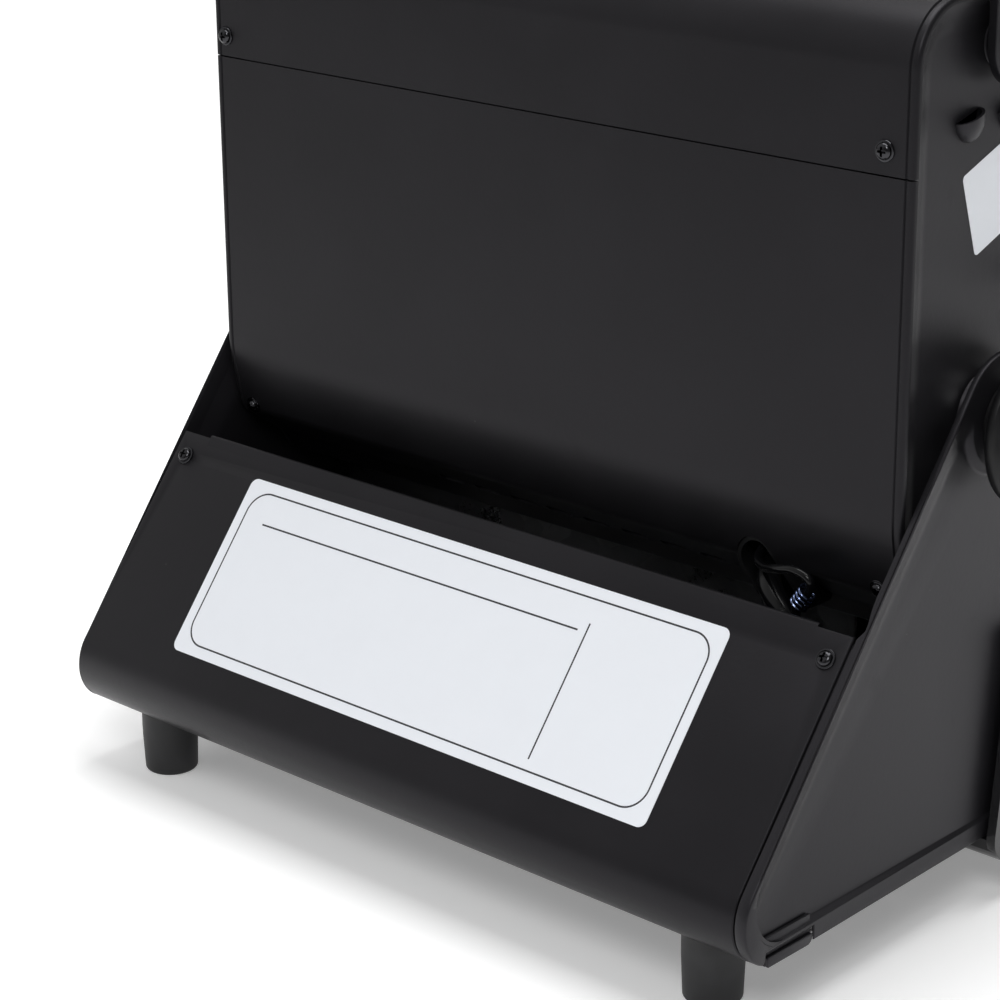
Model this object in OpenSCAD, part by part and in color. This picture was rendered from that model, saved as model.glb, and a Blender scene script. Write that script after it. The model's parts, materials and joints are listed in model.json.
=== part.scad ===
// Portable gas cartridge heater: a tilting ceramic burner head, carried between the side plates of a
// wedge-shaped sheet-metal base that holds one gas cartridge behind a moulded front housing.
// X runs along the width, the burner faces -Y, Z is up and the feet stand on Z = 0.

/* [Base] */
// Width of the sloping rear panel
panel_w = 300; // [296:1:310]
// Slope of the rear panel, from level
slope_angle = 51.6; // [50:0.1:53]
// Outer radius of the roll at the foot of the rear panel
roll_r = 16; // [14:0.5:18]
// Thickness of the base sheet
plate_t = 1.2; // [1:0.1:1.5]
// Depth of the stamped recess in each side plate
stamp_d = 1.6; // [1.2:0.1:1.8]
// Height of the rear feet
rear_foot_h = 22.9; // [22.9:0.1:22.9]
// Height of the front feet, under the moulded housing
front_foot_h = 14; // [14:0.5:14]

/* [Head] */
// Width of the burner head
head_w = 296.8; // [295:0.1:297]
// Depth of the burner head
head_d = 105.2; // [100:0.1:106]
// Height of the head's top above the ground
head_top = 298; // [296:1:302]
// Height of the seam between the hood and the rear lower panel
seam_z = 247.5; // [240:0.5:252]
// Radius of the hood's long bends
hood_r = 20; // [14:1:24]
// Thickness of the head's sheet
head_t = 1; // [0.8:0.1:1]
// Height of the tilt axis above the ground
pivot_z = 166; // [166:0.5:168]

/* [Burner] */
// Width of one ceramic plaque
plaque_w = 115; // [100:1:115]
// Height of the ceramic plaques
plaque_h = 78; // [70:1:78]
// Half width of the burner window
window_half = 120; // [119:1:121]
// Number of bowed guard wires
guard_wires = 12; // [8:1:16]
// Depth of the guard's bow
guard_bow = 12.5; // [10:0.5:14]

/* [Controls] */
// Radius of the tilt knob's skirt
tilt_knob_r = 25; // [22:0.5:26]
// Radius of the control knob
control_knob_r = 17.5; // [15:0.5:18]
// Travel of the cartridge lever, downwards
lever_travel = 16; // [14:0.5:16]
// Travel of the cartridge hook towards the valve
hook_travel = 5; // [4:0.5:5]
// Radius of the gas cartridge that the bay takes
cartridge_r = 34; // [33:0.5:34]

/* [Handle] */
// Width of the handle strap
strap_w = 26; // [22:1:28]
// Height of the handle strap above its pivot
strap_rise = 72; // [70:1:80]

/* [Hidden] */
$fn = 48;
arc_step = 9;
eps = 0.05;
running = 0.05;

pivot_y = -11.3;
pivot = [pivot_y, pivot_z];

// Base plates
panel_half = panel_w / 2;
web_out = panel_half + 3;
web_in = web_out - stamp_d - plate_t;
slope_dir = [cos(slope_angle), -sin(slope_angle)];
slope_out = [sin(slope_angle), cos(slope_angle)];
panel_top = [56.9, 113.8];
under_z = rear_foot_h;
roll_corner = [panel_top[0] + (panel_top[1] - under_z) / tan(slope_angle), under_z];
hem_half = panel_half - 14.2;
hem_up = 1.5;
edge_gap = 0.3;
screw_x = panel_half - 6.8;
screw_s = 8.8;
apex_r = (panel_top - pivot) * slope_out + edge_gap;
front_lean = 165;
apex_corner = pivot + apex_r / cos((front_lean - 90 + slope_angle) / 2)
    * [cos((front_lean + 90 - slope_angle) / 2), sin((front_lean + 90 - slope_angle) / 2)];
plate_low = 24.3;
plate_front = pivot_y - 60;
side_outline = [[plate_front, plate_low], roll_corner + [0.6, -edge_gap], apex_corner];
side_radii = [6, roll_r + edge_gap, apex_r];
border_w = 6;
pivot_land_r = 15.5;
tab_y = [78, 99.6];
tab_z = [22.6, 26];
foot_x = 125.4;
rear_foot_y = 90.7;
front_foot_y = -84;

// Front housing
housing_half = web_out + 3.5;
housing_in = web_out + 0.3;
front_y = -102;
wall = 2.5;
inner_y = front_y + wall;
housing_low = front_foot_h;
deck_z = 92.5;
housing_outline = [[front_y, housing_low], [-12, housing_low], [-22, deck_z], [front_y, deck_z]];
housing_radii = [8, 10, 4, 14];

// Gas cartridge bay, valve and lever
cart_y = -62;
cart_z = 55.5;
valve_x = -127;
seat_x = -103;
lever_x = -96.5;
lever_half = 7;
lever_stem_z = 74;
hook_pin_z = 50;
door_x = [-86, 146];
door_z = [16.8, 86.5];
door_gap = 0.5;
hinge_y = -99.2;
hinge_z = 20.2;
hinge_r = 2.7;
hinge_pin_r = 1.5;
knuckle_w = 20;
side_knuckle_w = 9;
knuckle_x = [-60, 30, 120];

// Burner head
head_half = head_w / 2;
head_rear = 35.2;
head_front = head_rear - head_d;
head_low = 96.2;
slant = [[13, 104.6], [30.4, 116.9]];
head_outline = [
    [head_rear, head_top], [head_front, head_top], [head_front, head_low], [7.6, head_low],
    slant[0], slant[1], [head_rear, 140]
];
head_radii = [hood_r, hood_r, 4, 3, 8, 5, 60];
bezel_top = 267.5;
side_face = head_half - 2;
side_back = side_face - head_t;
flange_w = 5;
window_z = [134, 246];
burner_z = 190;
plaque_face = -50;
box_back = -20;
mixer_y = -3;
elbow_x = -30;
jet_x = -92.5;
inlet_z = 117.5;
slot_pitch = 16.9;
slot_first = -61.3;
hose_mouth = [-96.5, 30.5, 112];
mouth_r = 5.75;
mouth_reach = 7.25;
scoop_set = 0.4;

// Pivots, handle and pull ring
bolt_r = 4;
handle_pivot = [pivot_y - 0.2, 281];
handle_bolt_r = 3;
arm_in = head_half + 0.8;
arm_t = 3;
ring_y = -38;
ring_z = 205;
ring_rod_r = 1.5;

// Routes of the gas hose and the ignition lead, from the base to the head
hose_r = 4;
hose_route = [
    [-127, -19.95, 55.5], [-127, -14, 55.5], [-127, -5, 56.3], [-127, 4, 59.5], [-127, 15, 67],
    [-124.5, 27, 78], [-120, 35, 89.5], [-114.5, 38.5, 98.5], [-108, 38, 105.5], [-101.5, 35, 110],
    [-96.5, 30, 112.6], [-94.5, 25, 114.6], [-92.6, 19, 117.2], [-92.5, 14, 117.5],
    [-92.5, 10.05, 117.5]
];
lead_r = 1.5;
lead_route = [
    [-127, -77.9, 80], [-127, -72, 80.2], [-128, -64, 81], [-132, -36, 81], [-134, -8, 80],
    [-134, 16, 80], [-132.5, 32, 84], [-128, 40, 91], [-122, 42.5, 98.5], [-117.5, 42.5, 105],
    [-116.7, 42, 110.9], [-121.1, 42, 117.1], [-121, 42.5, 121], [-115.5, 42.5, 122.5],
    [-108, 41, 120.5], [-100, 37, 118], [-93.5, 32, 117.8], [-91.5, 26, 120.3], [-93, 18, 125],
    [-99, 8, 128], [-104, -6, 126], [-107, -26, 117], [-108, -44, 108], [-108, -54, 107],
    [-108, -57, 111.5], [-108, -57, 117.9]
];
coil_middle = [-118.9, 42, 114];
coil_lean = -35;

// ---- Outlines -------------------------------------------------------------------------------

function unit(v) = v / norm(v);
function left_of(v) = [-v[1], v[0]];
function turned(v, a) = [v[0] * cos(a) - v[1] * sin(a), v[0] * sin(a) + v[1] * cos(a)];
function reversed(list) = [for (i = [len(list) - 1 : -1 : 0]) list[i]];
function turn_at(a, b, c) =
    let (u = b - a, v = c - b) atan2(u[0] * v[1] - u[1] * v[0], u * v);

// Corner b moved to the left of the way a, b, c by d
function moved(a, b, c, d) =
    let (u = left_of(unit(b - a)), v = left_of(unit(c - b)), m = unit(u + v)) b + m * (d / (m * u));

// Corner b as an arc of radius r
function rounded_corner(a, b, c, r) =
    let (turn = turn_at(a, b, c))
    r < eps || abs(turn) < 1 ? [b] :
    let (
        u = unit(b - a),
        start = b - u * r * tan(abs(turn) / 2),
        centre = start + sign(turn) * r * left_of(u),
        steps = max(2, ceil(abs(turn) / arc_step))
    )
    [for (k = [0 : steps]) centre + turned(start - centre, turn * k / steps)];

// A closed outline, taken counter-clockwise, moved inwards by d with its rounded corners
function skin(points, radii, d = 0) =
    let (n = len(points))
    let (inner = [for (i = [0 : n - 1]) moved(points[(i + n - 1) % n], points[i], points[(i + 1) % n], d)])
    [for (i = [0 : n - 1])
        let (a = inner[(i + n - 1) % n], b = inner[i], c = inner[(i + 1) % n])
        each rounded_corner(a, b, c, radii[i] - d * sign(turn_at(a, b, c)))];

function open_path(path, radii) =
    let (last = len(path) - 1)
    [for (i = [0 : last])
        each (i == 0 || i == last ? [path[i]]
            : rounded_corner(path[i - 1], path[i], path[i + 1], radii[i]))];

// The cross-section of a bent sheet: its outer face follows path, its thickness t lies to the left
function bent(path, radii, t) =
    let (last = len(path) - 1)
    let (inner = [for (i = [0 : last])
        i == 0 ? path[0] + t * left_of(unit(path[1] - path[0]))
            : i == last ? path[last] + t * left_of(unit(path[last] - path[last - 1]))
            : moved(path[i - 1], path[i], path[i + 1], t)])
    let (inner_radii = [for (i = [0 : last])
        i == 0 || i == last ? 0 : radii[i] - t * sign(turn_at(path[i - 1], path[i], path[i + 1]))])
    concat(open_path(path, radii), reversed(open_path(inner, inner_radii)));

function box_outline(low, high) = [low, [high[0], low[1]], high, [low[0], high[1]]];
function rounded_box(low, high, r) = skin(box_outline(low, high), [r, r, r, r]);

// ---- Placing --------------------------------------------------------------------------------

// Extrudes a (y, z) outline along X, an (x, z) outline along Y and an (x, y) outline along Z
module along_x(x0, x1) {
    translate([x0, 0, 0]) rotate([90, 0, 90]) linear_extrude(x1 - x0) children();
}

module along_y(y0, y1) {
    translate([0, y1, 0]) rotate([90, 0, 0]) linear_extrude(y1 - y0) children();
}

module along_z(z0, z1) {
    translate([0, 0, z0]) linear_extrude(z1 - z0) children();
}

module block(low, high) {
    translate(low) cube(high - low);
}

module rod_x(x0, x1, y, z, r) {
    translate([x0, y, z]) rotate([0, 90, 0]) cylinder(h = x1 - x0, r = r);
}

module rod_y(y0, y1, x, z, r) {
    translate([x, y1, z]) rotate([90, 0, 0]) cylinder(h = y1 - y0, r = r);
}

module rod_z(z0, z1, x, y, r) {
    translate([x, y, z0]) cylinder(h = z1 - z0, r = r);
}

// A round rod from p to q
module rod(p, q, r) {
    way = q - p;
    translate(p)
        rotate([0, acos(way[2] / norm(way)), atan2(way[1], way[0])])
            cylinder(h = norm(way), r = r);
}

module both_sides() {
    children();
    mirror([1, 0, 0]) children();
}

// Local frame of the rear panel: Y runs down the slope from the top edge, Z points outwards
module on_slope() {
    translate([0, panel_top[0], panel_top[1]]) rotate([-slope_angle, 0, 0]) children();
}

// A solid of revolution about the X axis through (y, z), from an outline of [radius, x] points
module turned_x(y, z, points) {
    translate([0, y, z]) rotate([0, 90, 0]) rotate_extrude() polygon(points);
}

// A pan-head screw that points along -Z, with its seat at the origin
module screw(shank_r, shank_h, head_r, head_h) {
    translate([0, 0, -shank_h]) cylinder(h = shank_h + eps, r = shank_r);
    intersection() {
        cylinder(h = head_h, r = head_r);
        translate([0, 0, head_h - head_r * 1.6]) sphere(r = head_r * 1.6);
    }
}

module slot_z(x, y, length, r, z0, z1) {
    along_z(z0, z1) polygon(rounded_box([x - length / 2, y - r], [x + length / 2, y + r], r - eps));
}

// ---- Base -----------------------------------------------------------------------------------

module rear_panel() {
    color([0.17, 0.17, 0.18])
    difference() {
        union() {
            along_x(-panel_half, panel_half)
                polygon(bent([[60, under_z], roll_corner, panel_top], [0, roll_r, 0], plate_t));
            on_slope() {
                block([-hem_half, -hem_up, -2 * plate_t], [hem_half, 0, 0]);
                block([-hem_half, -hem_up, -2 * plate_t], [hem_half, 8, -plate_t + eps]);
            }
        }
        on_slope() both_sides() translate([screw_x, screw_s, -5]) cylinder(h = 8, r = 1.75);
        both_sides() rod_z(under_z - 1, under_z + 3, foot_x, rear_foot_y, 2.05);
    }
}

module base_floor() {
    floor_z = under_z + plate_t;
    color([0.2, 0.2, 0.21])
    difference() {
        along_y(-13.8, 84)
            polygon(bent(
                [[-web_in, 38], [-web_in, floor_z], [web_in, floor_z], [web_in, 38]],
                [0, 2, 2, 0], plate_t));
        for (x = [-100 : 40 : 100], y = [10, 36])
            slot_z(x, y, 28, 2.5, floor_z - 1, floor_z + 3);
    }
}

// The area of the side plate that is stamped inwards
module stamped_area(d) {
    difference() {
        polygon(skin(side_outline, side_radii, border_w + d));
        translate(pivot) circle(r = pivot_land_r + d);
    }
}

module side_plate() {
    wing = 14;
    difference() {
        union() {
            along_x(web_out - plate_t, web_out)
                difference() {
                    polygon(skin(side_outline, side_radii));
                    stamped_area(plate_t);
                }
            along_x(web_in, web_out) stamped_area(0);
            // Wing behind the rear panel
            on_slope() block([web_out - plate_t - wing, 1, -2 * plate_t], [web_out - eps, 76, -plate_t]);
        }
        along_x(web_in + plate_t, web_out + 1) stamped_area(plate_t);
        block([web_out - plate_t - 1, tab_y[0] - 1, 0], [web_out + 1, tab_y[1] + 1, tab_z[1] + 2]);
        rod_x(web_in - 1, web_out + 1, pivot[0], pivot[1], bolt_r + running);
        on_slope() translate([screw_x, screw_s, -5]) cylinder(h = 8, r = 1.5);
    }
    // Tab under the lower edge, on a strip behind the plate
    block([web_out - 2 * plate_t, tab_y[0], tab_z[0]], [web_out - plate_t + eps, tab_y[1], tab_z[1] + 6]);
    along_x(web_out - plate_t, web_out)
        polygon(skin(box_outline([tab_y[0], tab_z[0]], [tab_y[1], tab_z[1]]), [2.5, 0.5, 0.5, 0.5]));
}

module side_plate_left() {
    color([0.24, 0.24, 0.25]) side_plate();
}

module side_plate_right() {
    color([0.24, 0.24, 0.25]) mirror([1, 0, 0]) side_plate();
}

module foot(x, y, height, r_low, r_high) {
    color([0.15, 0.15, 0.16]) {
        translate([x, y, 0]) cylinder(h = 1, r1 = r_low - 0.8, r2 = r_low);
        translate([x, y, 1]) cylinder(h = height - 1, r1 = r_low, r2 = r_high);
    }
}

module foot_rear_left() { foot(foot_x, rear_foot_y, rear_foot_h, 9.4, 10.2); }
module foot_rear_right() { foot(-foot_x, rear_foot_y, rear_foot_h, 9.4, 10.2); }
module foot_front_left() { foot(foot_x, front_foot_y, front_foot_h, 9.4, 10); }
module foot_front_right() { foot(-foot_x, front_foot_y, front_foot_h, 9.4, 10); }

module base_screws() {
    color([0.3, 0.3, 0.32]) {
        both_sides() on_slope() translate([screw_x, screw_s, 0]) screw(1.5, 6, 3, 2);
        both_sides() {
            translate([foot_x, rear_foot_y, under_z + plate_t]) screw(2, plate_t, 4, 2.4);
            translate([foot_x, front_foot_y, housing_low + wall]) screw(2, wall, 4, 2.4);
        }
    }
}

module housing_cavity() {
    intersection() {
        along_x(-housing_in, housing_in)
            polygon(skin(
                [[inner_y, housing_low + wall], [-17, housing_low + wall], [-17, under_z], [10, under_z],
                    [10, deck_z - wall], [inner_y, deck_z - wall]],
                [5.5, 1, 0, 0, 0, 11.5]));
        along_z(0, deck_z)
            polygon(skin(
                [[-housing_in, inner_y], [housing_in, inner_y], [housing_in, 20], [-housing_in, 20]],
                [7.5, 7.5, 0, 0]));
    }
}

// Hinge knuckles on the bottom wall of the housing, one each side of every cover knuckle
module housing_knuckles(slack) {
    for (x = knuckle_x, side = [-1, 1])
        translate([x + side * (knuckle_w / 2 + 0.4 + side_knuckle_w / 2), 0, 0]) {
            half = side_knuckle_w / 2 + slack;
            rod_x(-half, half, hinge_y, hinge_z, hinge_r + slack);
            block([-half, hinge_y - 1.2 - slack, housing_low + 1.5], [half, hinge_y + 2.4 + slack, hinge_z]);
        }
}

module front_housing() {
    rail_z = [27, 87];
    color([0.08, 0.08, 0.09])
    difference() {
        union() {
            difference() {
                intersection() {
                    along_x(-housing_half, housing_half) polygon(skin(housing_outline, housing_radii));
                    along_z(0, deck_z + 1)
                        polygon(skin(
                            [[-housing_half, front_y], [housing_half, front_y],
                                [housing_half, 0], [-housing_half, 0]],
                            [10, 10, 0, 0]));
                }
                housing_cavity();
                block([-housing_in, -14.5, 0], [housing_in, 5, deck_z + 1]);
                // Room for the hose hood when the head tilts, and slots that the side plates rise through
                block([-113, -30, deck_z - wall - 3], [-92, 0, deck_z + 1]);
                both_sides()
                    block([web_in - 0.3, -56, deck_z - wall - 1], [housing_in, 0, deck_z + 1]);
            }
            // Boss behind the dish of the control knob
            rod_y(inner_y - eps, inner_y + 4, valve_x, cart_z, 22);
            // Hooked rails that guide the cartridge lever
            for (side = [-1, 1]) {
                edge = lever_x + side * (lever_half + 0.3);
                block([min(edge, edge + side * 2), inner_y - eps, rail_z[0]],
                    [max(edge, edge + side * 2), inner_y + 4, rail_z[1]]);
                block([min(edge - side * 1.5, edge + side * 2), inner_y + 2.6, rail_z[0]],
                    [max(edge - side * 1.5, edge + side * 2), inner_y + 4, rail_z[1]]);
            }
            housing_knuckles(0);
        }
        // Cover opening, knob dish, spindle hole, lever slot and hinge pin bore
        difference() {
            along_y(front_y - 1, inner_y + 6)
                polygon(skin(box_outline([door_x[0], door_z[0]], [door_x[1], door_z[1]]), [0, 0, 4, 4]));
            housing_knuckles(0);
        }
        rod_y(front_y - 1, front_y + 4, valve_x, cart_z, control_knob_r + 2.5);
        rod_y(front_y, inner_y + 5, valve_x, cart_z, 6);
        along_y(front_y - 1, inner_y + 1)
            polygon(rounded_box([lever_x - 2.6, 53.5], [lever_x + 2.6, 76.6], 1));
        rod_x(door_x[0] - eps, door_x[1] + eps, hinge_y, hinge_z, hinge_pin_r);
        // Vents in the deck, and bores for the screws of the front feet
        for (x = [-120 : 30 : 120], y = [-62, -44])
            slot_z(x, y, 20, 2.2, deck_z - wall - 1, deck_z + 1);
        both_sides() rod_z(housing_low - 1, housing_low + wall + 1, foot_x, front_foot_y, 2.05);
    }
}

module bay_partition() {
    color([0.5, 0.5, 0.52])
    along_x(-92, web_in - 2.2)
        polygon(bent([[-24, deck_z - wall], [-24, 25.3], [-9, 25.3]], [0, 2, 0], plate_t));
}

module cartridge_cradle() {
    low = housing_low + wall;
    rail_top = cart_z - sqrt(cartridge_r * cartridge_r - 14 * 14);
    color([0.6, 0.61, 0.63])
    along_x(-76, 104)
        polygon(bent(
            [[-34, low], [-43.5, low], [-46, rail_top - 1], [-50, rail_top - 1], [-52.5, low + 1],
                [-71.5, low + 1], [-74, rail_top - 1], [-78, rail_top - 1], [-80.5, low], [-90, low]],
            [0, 1, 1, 1, 1, 1, 1, 1, 1, 0], -1));
}

module valve_body() {
    color([0.66, 0.67, 0.69])
    difference() {
        union() {
            rod_x(-145, seat_x - 4, cart_y, cart_z, 16);
            rod_x(seat_x - 4, seat_x, cart_y, cart_z, 19);
            rod_x(seat_x, seat_x + 3, cart_y, cart_z, 19);
            rod_y(-90, cart_y, valve_x, cart_z, 8);
            rod_y(cart_y, -38, valve_x, cart_z, 8);
            for (x = [-138, -116])
                block([x - 2, cart_y - 10, housing_low + wall], [x + 2, cart_y + 10, cart_z - 10]);
        }
        rod_x(seat_x, seat_x + 4, cart_y, cart_z, 16);
        rod_y(-91, -72, valve_x, cart_z, 3 + running);
    }
    color([0.78, 0.63, 0.3])
    difference() {
        rod_x(seat_x - 1, seat_x + 8, cart_y, cart_z, 4);
        rod_x(seat_x, seat_x + 9, cart_y, cart_z, 1);
    }
}

module hose_barb() {
    color([0.78, 0.63, 0.3]) {
        translate([valve_x, -34, cart_z]) rotate([90, 0, 0]) cylinder(h = 4, r = 7, $fn = 6);
        rod_y(-34, -20, valve_x, cart_z, hose_r + 1.2);
    }
}

module piezo_igniter() {
    color([0.1, 0.1, 0.1]) {
        rod_z(66, 87, valve_x, -84, 6);
        rod_z(64, 66, valve_x, -84, 2);
        rod_z(86, deck_z - wall, valve_x, -84, 3);
    }
}

module cover_hinge_pin() {
    color([0.7, 0.7, 0.72])
        rod_x(knuckle_x[0] - knuckle_w, knuckle_x[2] + knuckle_w, hinge_y, hinge_z, hinge_pin_r);
}

// Close-wound coil that guards the ignition lead where it leaves the base
module lead_spring() {
    color([0.45, 0.5, 0.7])
    translate(coil_middle) rotate([0, coil_lean, 0])
        for (turn = [-1.5 : 1.5])
            translate([0, 0, turn * 1.7]) rotate_extrude()
                translate([2.9, 0]) circle(r = 0.6, $fn = 16);
}

// A tube of given radius swept along a route of points
module tube(route, r, sides) {
    last = len(route) - 1;
    ring = function (i)
        let (
            a = route[max(0, i - 1)],
            b = route[min(last, i + 1)],
            way = unit(b - a),
            side = unit(cross(way, [1, 0, 0.2])),
            rise = cross(side, way)
        )
        [for (k = [0 : sides - 1])
            route[i] + r * (cos(360 * k / sides) * side + sin(360 * k / sides) * rise)];
    points = [for (i = [0 : last]) each ring(i)];
    walls = [for (i = [0 : last - 1], k = [0 : sides - 1])
        [i * sides + k, i * sides + (k + 1) % sides, (i + 1) * sides + (k + 1) % sides, (i + 1) * sides + k]];
    ends = [reversed([for (k = [0 : sides - 1]) k]), [for (k = [0 : sides - 1]) last * sides + k]];
    polyhedron(points, concat(walls, ends), convexity = 6);
}

// Points of a smooth curve through a route, with extra points between its own
function between(a, b, c, d, t) =
    0.5 * (2 * b + (c - a) * t + (2 * a - 5 * b + 4 * c - d) * t * t
        + (3 * b - a - 3 * c + d) * t * t * t);
function smooth(route, parts) =
    let (last = len(route) - 1)
    concat(
        [for (i = [0 : last - 1], k = [0 : parts - 1])
            between(route[max(0, i - 1)], route[i], route[i + 1], route[min(last, i + 2)], k / parts)],
        [route[last]]);

module gas_hose() {
    color([0.09, 0.09, 0.09]) tube(smooth(hose_route, 2), hose_r, 12);
}

module ignition_lead() {
    color([0.12, 0.12, 0.12]) tube(smooth(lead_route, 2), lead_r, 8);
}

// ---- Burner head ----------------------------------------------------------------------------

// A folded sheet that follows part of the head's side outline, with its side flanges
module head_sheet(path, radii, flange) {
    along_x(-head_half, head_half) polygon(bent(path, radii, head_t));
    both_sides() along_x(head_half - head_t, head_half) polygon(bent(path, radii, flange));
}

module hood() {
    color([0.16, 0.16, 0.17])
    difference() {
        head_sheet(
            [[head_rear, seam_z], [head_rear, head_top], [head_front, head_top], [head_front, bezel_top + 0.5]],
            [0, hood_r, hood_r, 0], flange_w);
        both_sides() rod_y(head_rear - 3, head_rear + 1, 141, 254.4, 1.75);
        both_sides() rod_y(head_front - 1, head_front + 3, 141, 274, 1.75);
    }
}

module rear_lower_panel() {
    slot_count = 8;
    seam = seam_z - 0.5;
    color([0.17, 0.17, 0.18])
    difference() {
        union() {
            head_sheet(
                [[-10, head_low], [7.6, head_low], slant[0], slant[1], [head_rear, 140], [head_rear, seam]],
                [0, 3, 8, 5, 60, 0], 3);
            // Joggled tongue behind the hood
            block([-130, head_rear - 2 * head_t, seam - 10], [137, head_rear - head_t, seam + 8]);
        }
        for (i = [0 : slot_count - 1])
            translate([slot_first + i * slot_pitch, 14, 105.5]) rotate([35, 0, 0])
                along_z(-4, 4) polygon(rounded_box([-5.5, -2], [5.5, 2], 1.9));
        mouth_oval(mouth_r + 1.5, 0, 36);
        both_sides() rod_y(head_rear - 8, head_rear + 1, 139, 119, 1.75);
    }
}

// The leaning oval way through the rear corner for the hose and the lead
module mouth_oval(r, y0, y1) {
    translate([hose_mouth[0], 0, hose_mouth[2]]) rotate([0, -45, 0])
        along_y(y0, y1)
            polygon(rounded_box([-mouth_reach - r, -r], [mouth_reach + r, r], r - eps));
}

// Moulded hood that leads the hose out to the rear; its foot follows the slanting sheet
module hose_grommet() {
    way = unit(slant[1] - slant[0]);
    foot = slant[1] + 3.5 * left_of(way);
    color([0.1, 0.1, 0.1])
    intersection() {
        difference() {
            mouth_oval(mouth_r + 1.5, 0, hose_mouth[1]);
            mouth_oval(mouth_r, -1, hose_mouth[1] + 1);
        }
        along_x(-120, -75)
            polygon([foot - 45 * way, [40, foot[1] - 45 * way[1]], [40, 130], [foot[0], 130], foot]);
    }
}

module head_base_plate() {
    color([0.17, 0.17, 0.18])
    difference() {
        block([-side_back, head_front + 4.1, head_low + head_t], [side_back, 3, head_low + 2 * head_t]);
        for (x = [-110 : 20 : 110]) slot_z(x, -36, 12, 2.5, head_low, head_low + 4);
    }
}

module head_stamp(d) {
    polygon(skin(head_outline, head_radii, flange_w + 1 + d));
}

// A vent scoop pressed outwards, with its half-moon mouth facing up
module scoop(y, z, r) {
    difference() {
        translate([side_face - r * scoop_set, y, z]) sphere(r = r);
        translate([side_face - r * scoop_set, y, z]) sphere(r = r - head_t);
        block([side_face - 3 * r, y - 2 * r, z], [side_face + 2 * r, y + 2 * r, z + 2 * r]);
        block([side_face - 3 * r, y - 2 * r, z - 2 * r], [side_back, y + 2 * r, z + 2 * r]);
    }
}

module head_side() {
    scoop_z = 261.5;
    scoop_r = 7.1;
    scoop_y = [5, -17, -39];
    difference() {
        union() {
            along_x(side_face, side_face + head_t)
                difference() {
                    polygon(skin(head_outline, head_radii, head_t));
                    head_stamp(head_t);
                }
            along_x(side_back, side_face + head_t) head_stamp(0);
            // Tabs behind the hood and the rear lower panel, for their screws
            block([137.5, head_rear - 2 * head_t, 249], [side_face, head_rear - head_t, 260]);
            translate([0, 30.85, 119]) rotate([-11.7, 0, 0])
                block([134, -2 * head_t - 0.1, 0.5], [side_face, -head_t - 0.1, 10]);
        }
        along_x(side_face, side_face + head_t + 1) head_stamp(head_t);
        rod_y(head_rear - 3, head_rear, 141, 254.4, 1.5);
        rod_x(side_back - 1, side_face + 3, pivot[0], pivot[1], bolt_r + running);
        rod_x(side_back - 1, side_face + 3, handle_pivot[0], handle_pivot[1], handle_bolt_r + running);
        for (y = scoop_y)
            intersection() {
                translate([side_face - scoop_r * scoop_set, y, scoop_z]) sphere(r = scoop_r - head_t / 2);
                block([side_back - 1, y - 10, scoop_z - 10], [side_face + 1, y + 10, scoop_z]);
            }
    }
    for (y = scoop_y) scoop(y, scoop_z, scoop_r);
}

module head_side_left() {
    color([0.2, 0.2, 0.2]) head_side();
}

module head_side_right() {
    color([0.2, 0.2, 0.2])
    difference() {
        mirror([1, 0, 0]) head_side();
        rod_x(-side_face - 3, -side_back + 1, ring_y, ring_z, 3 + running);
    }
}

module front_bezel() {
    color([0.12, 0.12, 0.13])
    difference() {
        union() {
            head_sheet([[head_front, bezel_top], [head_front, head_low], [head_front + 10, head_low]],
                [0, 4, 0], 6);
            // Joggled tongue behind the hood
            block([-145, head_front + head_t - eps, bezel_top - 10],
                [145, head_front + 2 * head_t, bezel_top - 1]);
            block([-145, head_front + head_t + eps, bezel_top - 2],
                [145, head_front + 2 * head_t, bezel_top + 9]);
        }
        along_y(head_front - 1, head_front + 4)
            polygon(rounded_box([-window_half, window_z[0]], [window_half, window_z[1]], 6));
        both_sides() rod_y(head_front, head_front + 3, 141, 274, 1.5);
    }
}

module frustum(half0, z0, y0, half1, z1, y1) {
    hull() {
        block([-half0, y0, z0[0]], [half0, y0 + 0.01, z0[1]]);
        block([-half1, y1 - 0.01, z1[0]], [half1, y1, z1[1]]);
    }
}

module reflector() {
    back_y = -48;
    mouth_y = head_front + head_t;
    throat_half = plaque_w + 2;
    throat_z = [burner_z - plaque_h / 2 - 1.5, burner_z + plaque_h / 2 + 1.5];
    mouth_half = window_half + 1.5;
    mouth_z = [window_z[0] - 1.5, window_z[1] + 1.5];
    color([0.8, 0.8, 0.82])
    difference() {
        union() {
            frustum(mouth_half + 1, mouth_z + [-1, 1], mouth_y, throat_half + 1, throat_z + [-1, 1], back_y);
            block([-mouth_half - 6, mouth_y, mouth_z[0] - 6], [mouth_half + 6, mouth_y + 1, mouth_z[1] + 6]);
            block([-throat_half - 9, back_y - 1, throat_z[0] - 8], [throat_half + 9, back_y, throat_z[1] + 8]);
        }
        frustum(mouth_half, mouth_z, mouth_y - eps, throat_half, throat_z, back_y + eps);
        rod_z(120, 160, -108, -57, 3.6);
    }
}

module plaque(x0) {
    half_h = plaque_h / 2;
    color([0.86, 0.82, 0.74])
        along_y(plaque_face, plaque_face + 13)
            polygon(rounded_box([x0, burner_z - half_h], [x0 + plaque_w, burner_z + half_h], 2));
}

module plaque_left() { plaque(1.5); }
module plaque_right() { plaque(-1.5 - plaque_w); }

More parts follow.
